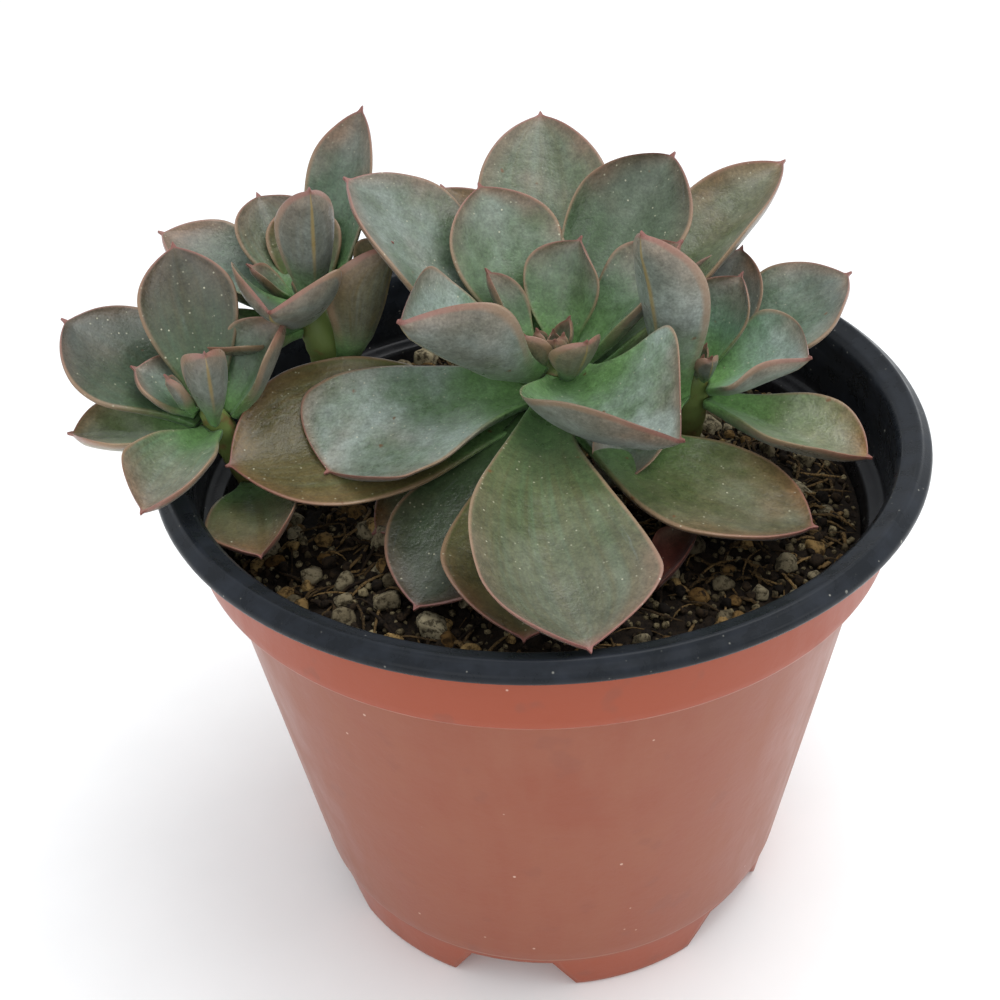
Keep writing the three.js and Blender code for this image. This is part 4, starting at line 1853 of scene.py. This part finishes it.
        def ring(radius: float, z: float, share: float, grow: float) -> np.ndarray:
            """One ring of the sheet.

            Args:
                radius: The ring's radius away from the recesses.
                z: Its height.
                share: Less than 1 on the flat floor, where it scales the ring.
                grow: How much larger the recesses are on this side of the sheet.

            Returns:
                The ring's points.
            """
            drop = (self.notch_height + grow - z) / self.notch_height
            wide = self.notch_top + (self.notch_foot - self.notch_top) * min(1.0, max(0.0, drop)) + grow
            half_angle = math.degrees(math.asin(min(0.9, wide / self.base)))
            level = min(1.0, max(0.0, (self.notch_height + grow - z) / 0.35))
            level = level * level * (3 - 2 * level)
            points = []
            for notch in range(self.notches):
                middle = self.notch_azimuth + sector * notch
                gap = sector - 2 * half_angle * within[-1]
                angles = np.concatenate(
                    [
                        middle + half_angle * within,
                        middle + half_angle * within[-1] + gap * np.arange(1, beyond) / beyond,
                    ]
                )
                sunk = np.interp(np.abs(within), [0, 0.965, 0.985, 1.0, 1.03], [1, 1, 0.93, 0.06, 0])
                sunk = np.concatenate([sunk, np.zeros(beyond - 1)]) * level
                offset = np.radians(angles - middle)
                back = (self.base - self.notch_depth - grow) / np.cos(offset)
                reach = radius + (np.minimum(back, radius) - radius) * sunk
                points.append(
                    np.column_stack(
                        [heading(angles)[:, :2] * (reach * share)[:, None], np.full(len(angles), z)]
                    ),
                )
            return np.vstack(points)

        for share in floor_shares[1:]:
            rings.append(ring(out_rows[0][0], 0.0, share, 0))
            kinds.append(Face.OUTSIDE)
        for radius, z in out_rows:
            rings.append(ring(radius, z, 1, 0))
            kinds.append(Face.OUTSIDE)
        for radius, z in lip_rows:
            rings.append(ring(radius, z, 1, 0))
            kinds.append(Face.INSIDE)
        for radius, z in in_rows:
            rings.append(ring(radius, z, 1, self.wall))
            kinds.append(Face.INSIDE)
        for share in reversed(floor_shares[1:]):
            rings.append(ring(in_rows[-1][0], self.wall, share, self.wall))
            kinds.append(Face.INSIDE)
        columns = len(rings[0])
        flat = np.vstack(rings)
        count = len(flat)
        flat = np.vstack([flat, [[0, 0, 0], [0, 0, self.wall]]])
        faces = [list(f) for f in grid_faces(len(rings), columns)]
        face_kinds = [kinds[row + 1].value for row in range(len(rings) - 1) for _ in range(columns)]
        last = count - columns
        for i in range(columns):
            ahead = (i + 1) % columns
            faces += [[ahead, i, count], [last + i, last + ahead, count + 1]]
            face_kinds += [Face.OUTSIDE.value, Face.INSIDE.value]
        piece = make_object("pot_sheet", flat, faces, [outside, inside], face_kinds=np.array(face_kinds))
        self.drill(piece)
        settle(piece, "terracotta_plastic", "pot")

    def drill(self, piece: bpy.types.Object) -> None:
        """Cuts the round drain hole in the back of each recess.

        Args:
            piece: The pot.
        """
        columns = 24
        angles = np.arange(columns) * 2 * np.pi / columns
        points, faces = [], []
        for notch in range(self.notches):
            out = heading(self.notch_azimuth + 360 / self.notches * notch)
            across = np.array([-out[1], out[0], 0])
            start = len(points)
            for reach in (-3.0, 3.0):
                middle = out * (self.base - self.notch_depth + reach) + [0, 0, self.notch_height / 2 + 0.4]
                for angle in angles:
                    points.append(
                        middle + across * math.cos(angle) * self.drain + [0, 0, math.sin(angle) * self.drain],
                    )
            faces += [
                [start + a, start + b, start + c, start + d] for a, b, c, d in grid_faces(2, columns).tolist()
            ]
            faces.append([start + i for i in range(columns)][::-1])
            faces.append([start + columns + i for i in range(columns)])
        drill = make_object("drill", np.array(points), faces, [])
        cut = piece.modifiers.new("drains", "BOOLEAN")
        cut.operation = "DIFFERENCE"
        cut.solver = "MANIFOLD"
        cut.object = drill
        bpy.context.view_layer.update()
        done = bpy.data.meshes.new_from_object(piece.evaluated_get(bpy.context.evaluated_depsgraph_get()))
        piece.modifiers.clear()
        piece.data = done
        bpy.data.objects.remove(drill)


@dataclass
class Soil:
    """The potting mix: peat with pumice grit and bark fibres.

    Attributes:
        level: The height of its middle.
        edge_z: Its height at the wall.
        edge: Its radius at the wall.
        floor_z: How far down the visible heap is built.
        bump: The depth of its hollows.
        mould_count: How many different lumps a scatter draws from.
        tries_per_lump: How many places a scatter tries for each lump before it gives up.
        broken_faces: How many planes cut each lump.
    """

    level: float = 83.5
    edge_z: float = 78.5
    edge: float = 55.22
    floor_z: float = 12.0
    bump: float = 0.9
    mould_count: int = 14
    tries_per_lump: int = 12
    broken_faces: int = 9

    def height(self, x: np.ndarray, y: np.ndarray) -> np.ndarray:
        """The surface's height at each place.

        Args:
            x: Places to the right, in millimetres.
            y: Places to the back.

        Returns:
            The heights.
        """
        radius = np.clip(np.hypot(x, y) / self.edge, 0, 1)
        mound = self.level - (self.level - self.edge_z) * radius**4
        bumps = np.sin(x * 0.21 + 1.3) * np.cos(y * 0.17 - 0.4) + 0.6 * np.sin(x * 0.09 - y * 0.33)
        return mound + self.bump * bumps * (1 - radius**6)

    def build_heap(self, material: bpy.types.Material) -> None:
        """Builds the crumbly heap of peat and ties it to the frame.

        Args:
            material: The peat.
        """
        columns, steps = 200, 62
        angles = np.arange(columns) * 360 / columns
        rings = []
        radii = np.sqrt(np.linspace(1, 0.0004, steps)) * self.edge
        low = 44 + 13 * self.floor_z / 81.5 - 1.4
        for z, radius in ((self.floor_z, low * 0.5), (self.floor_z, low), (45.0, 49.6)):
            rings.append(np.column_stack([heading(angles)[:, :2] * radius, np.full(columns, z)]))
        top_start = len(rings) * columns
        for radius in radii:
            flat = heading(angles)[:, :2] * radius
            rings.append(np.column_stack([flat, self.height(flat[:, 0], flat[:, 1])]))
        points = np.vstack(rings)
        surface = points[top_start:]
        crumbs = (
            0.75 * ripple(surface, 3.2, 3)
            + 0.5 * ripple(surface, 1.5, 8)
            + 0.3 * np.abs(ripple(surface, 0.8, 5))
        )
        fade = np.clip((self.edge - np.hypot(surface[:, 0], surface[:, 1])) / 1.5, 0, 1)
        surface[:, 2] += crumbs * fade
        points[top_start:] = surface
        count = len(points)
        middle_top = points[-columns:].mean(0)
        points = np.vstack([points, [[0, 0, self.floor_z]], middle_top[None]])
        faces = [list(f) for f in grid_faces(len(rings), columns)]
        for i in range(columns):
            ahead = (i + 1) % columns
            faces += [[ahead, i, count], [count - columns + i, count - columns + ahead, count + 1]]
        tone = np.full(len(points), 0.3)
        settle(make_object("soil_heap", points, faces, [material], {"tone": tone}), "gritty_peat", "soil")

    def scatter(
        self,
        name: str,
        material: bpy.types.Material,
        count: int,
        sizes: tuple[float, float],
        detail: int,
        seed: int,
        sink: float,
    ) -> None:
        """Strews lumps over the soil as one piece.

        Args:
            name: The piece's name.
            material: The lumps' material.
            count: How many lumps there are.
            sizes: The smallest and largest diameter, in millimetres.
            detail: How finely each lump is divided.
            seed: Makes the scatter its own.
            sink: How deep each lump sits, as a share of its radius.
        """
        rng = np.random.default_rng(seed)
        moulds = [self.lump(seed + i, detail) for i in range(self.mould_count)]
        points, faces, tones = [], [], []
        base = 0
        limit = self.edge - 0.4
        placed: list[tuple[float, float, float]] = []
        tries = 0
        while len(placed) < count and tries < count * self.tries_per_lump:
            tries += 1
            size = sizes[0] + (sizes[1] - sizes[0]) * rng.beta(1.4, 2.4)
            radius = (limit - size * 0.55) * math.sqrt(rng.uniform(0.01, 1))
            angle = rng.uniform(0, 2 * math.pi)
            x, y = radius * math.cos(angle), radius * math.sin(angle)
            if any(
                abs(px - x) < 9 and math.hypot(px - x, py - y) < (ps + size) * 0.42 for px, py, ps in placed
            ):
                continue
            placed.append((x, y, size))
            mould, shape = moulds[int(rng.integers(len(moulds)))]
            turn = np.array(
                Matrix.Rotation(rng.uniform(0, 2 * math.pi), 3, Vector(rng.normal(size=3)).normalized())
            )
            stretch = rng.uniform(0.78, 1.18, 3) * size / 2
            lump = (mould * stretch) @ turn.T
            z = float(self.height(np.array(x), np.array(y))) + size / 2 * (1 - sink) - 0.25
            points.append(lump + [x, y, z])
            faces.append(shape + base)
            tones.append(np.full(len(lump), rng.uniform(0, 1)))
            base += len(lump)
        piece = make_object(
            name, np.vstack(points), np.vstack(faces), [material], {"tone": np.concatenate(tones)}
        )
        settle(piece, "gritty_peat")

    def lump(self, seed: int, detail: int) -> tuple[np.ndarray, np.ndarray]:
        """A broken, rounded lump of about unit radius.

        Args:
            seed: Makes its shape its own.
            detail: How finely it is divided.

        Returns:
            Its points and its triangles.
        """
        form = bmesh.new()
        bmesh.ops.create_icosphere(form, subdivisions=detail, radius=1.0)
        form.verts.ensure_lookup_table()
        points = np.array([v.co for v in form.verts])
        triangles = np.array([[v.index for v in f.verts] for f in form.faces])
        form.free()
        swell = 1 + 0.22 * ripple(points, 1.1, seed) + 0.12 * ripple(points, 0.5, seed + 5)
        # Broken faces: the lump is flattened where a few planes cut it.
        rng = np.random.default_rng(seed)
        points = points * swell[:, None]
        for normal in rng.normal(size=(self.broken_faces, 3)):
            normal = normal / np.linalg.norm(normal)
            over = points @ normal - rng.uniform(0.55, 0.85)
            points = points - np.clip(over, 0, None)[:, None] * normal * 0.95
        return points, triangles

    def strew_fibres(self, material: bpy.types.Material, count: int, seed: int) -> None:
        """Strews bent bark fibres and rootlets over the soil as one piece.

        Args:
            material: Their material.
            count: How many there are.
            seed: Makes the scatter its own.
        """
        rng = np.random.default_rng(seed)
        stations, sides = 7, 5
        points, faces, tones = [], [], []
        base = 0
        shape = grid_faces(stations, sides)
        for _ in range(count):
            length = rng.uniform(2.5, 11)
            width = rng.uniform(0.14, 0.42) if length > 5 else rng.uniform(0.2, 0.6)
            radius = (self.edge - 1.0) * math.sqrt(rng.uniform(0.02, 1))
            angle = rng.uniform(0, 2 * math.pi)
            start = np.array([radius * math.cos(angle), radius * math.sin(angle)])
            course = rng.uniform(0, 2 * math.pi)
            bend = rng.normal(0, 0.9)
            lift = rng.uniform(0.1, 1.1)
            line = []
            here = start
            for k in range(stations):
                line.append([*here, 0.0])
                direction = course + bend * k / stations
                here = here + np.array([math.cos(direction), math.sin(direction)]) * length / (stations - 1)
            line = np.array(line)
            over = np.hypot(line[:, 0], line[:, 1]).max()
            if over > self.edge - 0.8:
                line[:, :2] *= (self.edge - 0.8) / over
            u = np.linspace(0, 1, stations)
            line[:, 2] = (
                self.height(line[:, 0], line[:, 1])
                + 0.45
                + lift * np.sin(np.pi * u)
                + 0.3 * rng.normal(size=stations) * 0.4
            )
            tangent = np.gradient(line, axis=0)
            tangent /= np.linalg.norm(tangent, axis=1)[:, None]
            across = np.cross(tangent, [0, 0, 1.0])
            across /= np.linalg.norm(across, axis=1)[:, None]
            upward = np.cross(across, tangent)
            around = np.arange(sides) * 2 * np.pi / sides
            taper = (0.35 + 0.65 * np.sin(np.pi * np.clip(u * 0.9 + 0.08, 0, 1)))[:, None, None]
            ring = (
                across[:, None, :] * np.cos(around)[None, :, None]
                + upward[:, None, :] * np.sin(around)[None, :, None] * 0.55
            )
            tube = line[:, None, :] + ring * taper * width
            points.append(tube.reshape(-1, 3))
            faces += [list(f[::-1] + base) for f in shape]
            faces.append([base + i for i in range(sides)])
            faces.append([base + (stations - 1) * sides + i for i in range(sides)][::-1])
            tones.append(np.full(stations * sides, rng.beta(0.8, 1.2)))
            base += stations * sides
        piece = make_object(
            "bark_fibres", np.vstack(points), faces, [material], {"tone": np.concatenate(tones)}
        )
        settle(piece, "gritty_peat")


@dataclass
class Studio:
    """A plain pale floor, soft light and the camera.

    Attributes:
        lens: The focal length in millimetres, on a 36 mm sensor.
        eye: Where the camera stands, in metres.
        yaw: How far it is turned to the left, in degrees.
        pitch: How far it looks down.
        roll: How far it is tilted.
    """

    lens: float = 54.18
    eye: tuple[float, float, float] = (0.0, -0.2157, 0.2348)
    yaw: float = -1.93
    pitch: float = 35.79
    roll: float = -2.82

    def build_camera(self) -> None:
        """Sets up the camera."""
        data = bpy.data.cameras.new("camera")
        data.lens = self.lens
        data.sensor_width = 36.0
        data.clip_start = 0.01
        yaw, pitch, roll = (math.radians(a) for a in (self.yaw, self.pitch, self.roll))
        ahead = Vector((math.sin(yaw) * math.cos(pitch), math.cos(yaw) * math.cos(pitch), -math.sin(pitch)))
        level = Vector((math.cos(yaw), -math.sin(yaw), 0))
        over = level.cross(ahead)
        right = level * math.cos(roll) + over * math.sin(roll)
        up = over * math.cos(roll) - level * math.sin(roll)
        camera = bpy.data.objects.new("camera", data)
        turn = Matrix((right, up, -ahead)).transposed().to_4x4()
        camera.matrix_world = Matrix.Translation(self.eye) @ turn
        bpy.context.scene.collection.objects.link(camera)
        bpy.context.scene.camera = camera

    def build_floor(self) -> None:
        """Lays the floor."""
        material, tree, output = new_material("white_paper_floor")
        place = add_node(tree, "ShaderNodeTexCoord").outputs["Object"]
        grain = add_node(tree, "ShaderNodeTexNoise", {"Vector": place, "Scale": 60.0, "Detail": 4.0})
        colour = add_node(
            tree,
            "ShaderNodeMix",
            {0: grain.outputs["Fac"], 6: linear("#f6f6f5"), 7: linear("#fbfbfa")},
            data_type="RGBA",
        )
        shader = add_node(
            tree,
            "ShaderNodeBsdfPrincipled",
            {"Base Color": colour.outputs[2], "Roughness": 0.9, "Specular IOR Level": 0.1},
        )
        tree.links.new(shader.outputs[0], output.inputs["Surface"])
        size = 4000.0
        corners = np.array([[-size, -size, 0], [size, -size, 0], [size, size, 0], [-size, size, 0]])
        floor = make_object("floor", corners, [[0, 1, 2, 3]], [material])

    def build_lights(self) -> None:
        """Hangs the lights: a bright even sky and three large soft boxes."""
        world = bpy.data.worlds.new("soft_sky")
        bpy.context.scene.world = world
        world.use_nodes = True
        world.node_tree.nodes["Background"].inputs["Color"].default_value = linear("#f3f7fb")
        world.node_tree.nodes["Background"].inputs["Strength"].default_value = 1.0
        for name, place, size, power in (
            ("sky_box", (0.25, 0.1, 0.95), 0.7, 4.6),
            ("front_box", (-0.35, -0.75, 0.5), 0.6, 1.2),
            ("side_box", (0.8, -0.3, 0.45), 0.4, 0.8),
        ):
            data = bpy.data.lights.new(name, "AREA")
            data.shape = "SQUARE"
            data.size = size
            data.energy = power
            light = bpy.data.objects.new(name, data)
            light.location = place
            light.rotation_euler = (Vector((0, 0, 0.08)) - Vector(place)).to_track_quat("-Z", "Y").to_euler()
            bpy.context.scene.collection.objects.link(light)
        view = bpy.context.scene.view_settings
        view.view_transform = "Standard"
        view.look = "None"

    def build(self) -> None:
        """Sets up the whole studio."""
        self.build_camera()
        self.build_floor()
        self.build_lights()


def main() -> None:
    """Builds the studio, the pot, the soil and the plant."""
    logging.basicConfig(level=logging.INFO, format="%(name)s: %(message)s")
    Studio().build()
    Pot().build(TerracottaSheet().material(), BlackSheet().material())
    peat = Earth(
        "damp_peat_crumbled",
        dark="#16100b",
        light="#382b1d",
        dirt="#0a0705",
        pore_mm=0.7,
        dirt_share=0.35,
        relief_mm=0.5,
    ).material()
    pumice = Earth(
        "grey_buff_pumice_sieved",
        dark="#665b45",
        light="#b5a888",
        dirt="#2c2417",
        pore_mm=1.1,
        dirt_share=0.34,
        relief_mm=0.6,
    ).material()
    ochre = Earth(
        "ochre_pumice_sieved",
        dark="#654a26",
        light="#a88a58",
        dirt="#2a1d0d",
        pore_mm=1.1,
        dirt_share=0.36,
        relief_mm=0.6,
    ).material()
    grit = Earth(
        "fine_pumice_grit_sieved",
        dark="#4b402c",
        light="#958766",
        dirt="#1f170d",
        pore_mm=0.8,
        dirt_share=0.4,
        relief_mm=0.3,
    ).material()
    bark = Earth(
        "bark_fibre_shredded",
        dark="#1c120a",
        light="#8a6e45",
        dirt="#120c07",
        pore_mm=0.35,
        dirt_share=0.35,
        relief_mm=0.1,
    ).material()
    mix = Soil()
    mix.build_heap(peat)
    mix.scatter(
        "pumice_lumps", pumice, count=170, sizes=(2.6, 6.0), detail=3, seed=11, sink=0.55
    )
    mix.scatter(
        "ochre_pumice_lumps", ochre, count=150, sizes=(2.2, 5.2), detail=3, seed=71, sink=0.6
    )
    mix.scatter(
        "pumice_grit", grit, count=2200, sizes=(0.7, 2.4), detail=1, seed=23, sink=0.3
    )
    mix.scatter(
        "peat_crumbs", peat, count=1100, sizes=(0.9, 3.0), detail=2, seed=37, sink=0.2
    )
    mix.strew_fibres(bark, count=800, seed=51)
    skins = {
        Skin.GREEN: LeafSkin("waxy_leaf_green").material(),
        Skin.OLIVE: LeafSkin(
            "waxy_leaf_olive", blade="#485a2c", far="#55553c", bloom="#767b6e", blush="#6b5234"
        ).material(),
        Skin.MAUVE: LeafSkin(
            "waxy_leaf_mauve", blade="#4f6b52", far="#5f675f", bloom="#858f8c", back="#676c63"
        ).material(),
        Skin.DRY: LeafSkin(
            "dried_leaf_skin",
            foot="#4a2418",
            blade="#55241c",
            far="#5c2a20",
            bloom="#6d4236",
            back="#3d1812",
            old="#4a1f16", margin="#6b3a2a", roughness=0.55,
        ).material(),
    }
    stem_skin = StemSkin().material()
    for form in CROWNS:
        Crown(form).build(skins, stem_skin)
    FallenLeaf(FALLEN_LEAF).build(skins[Skin.DRY])


if __name__ == "__main__":
    main()
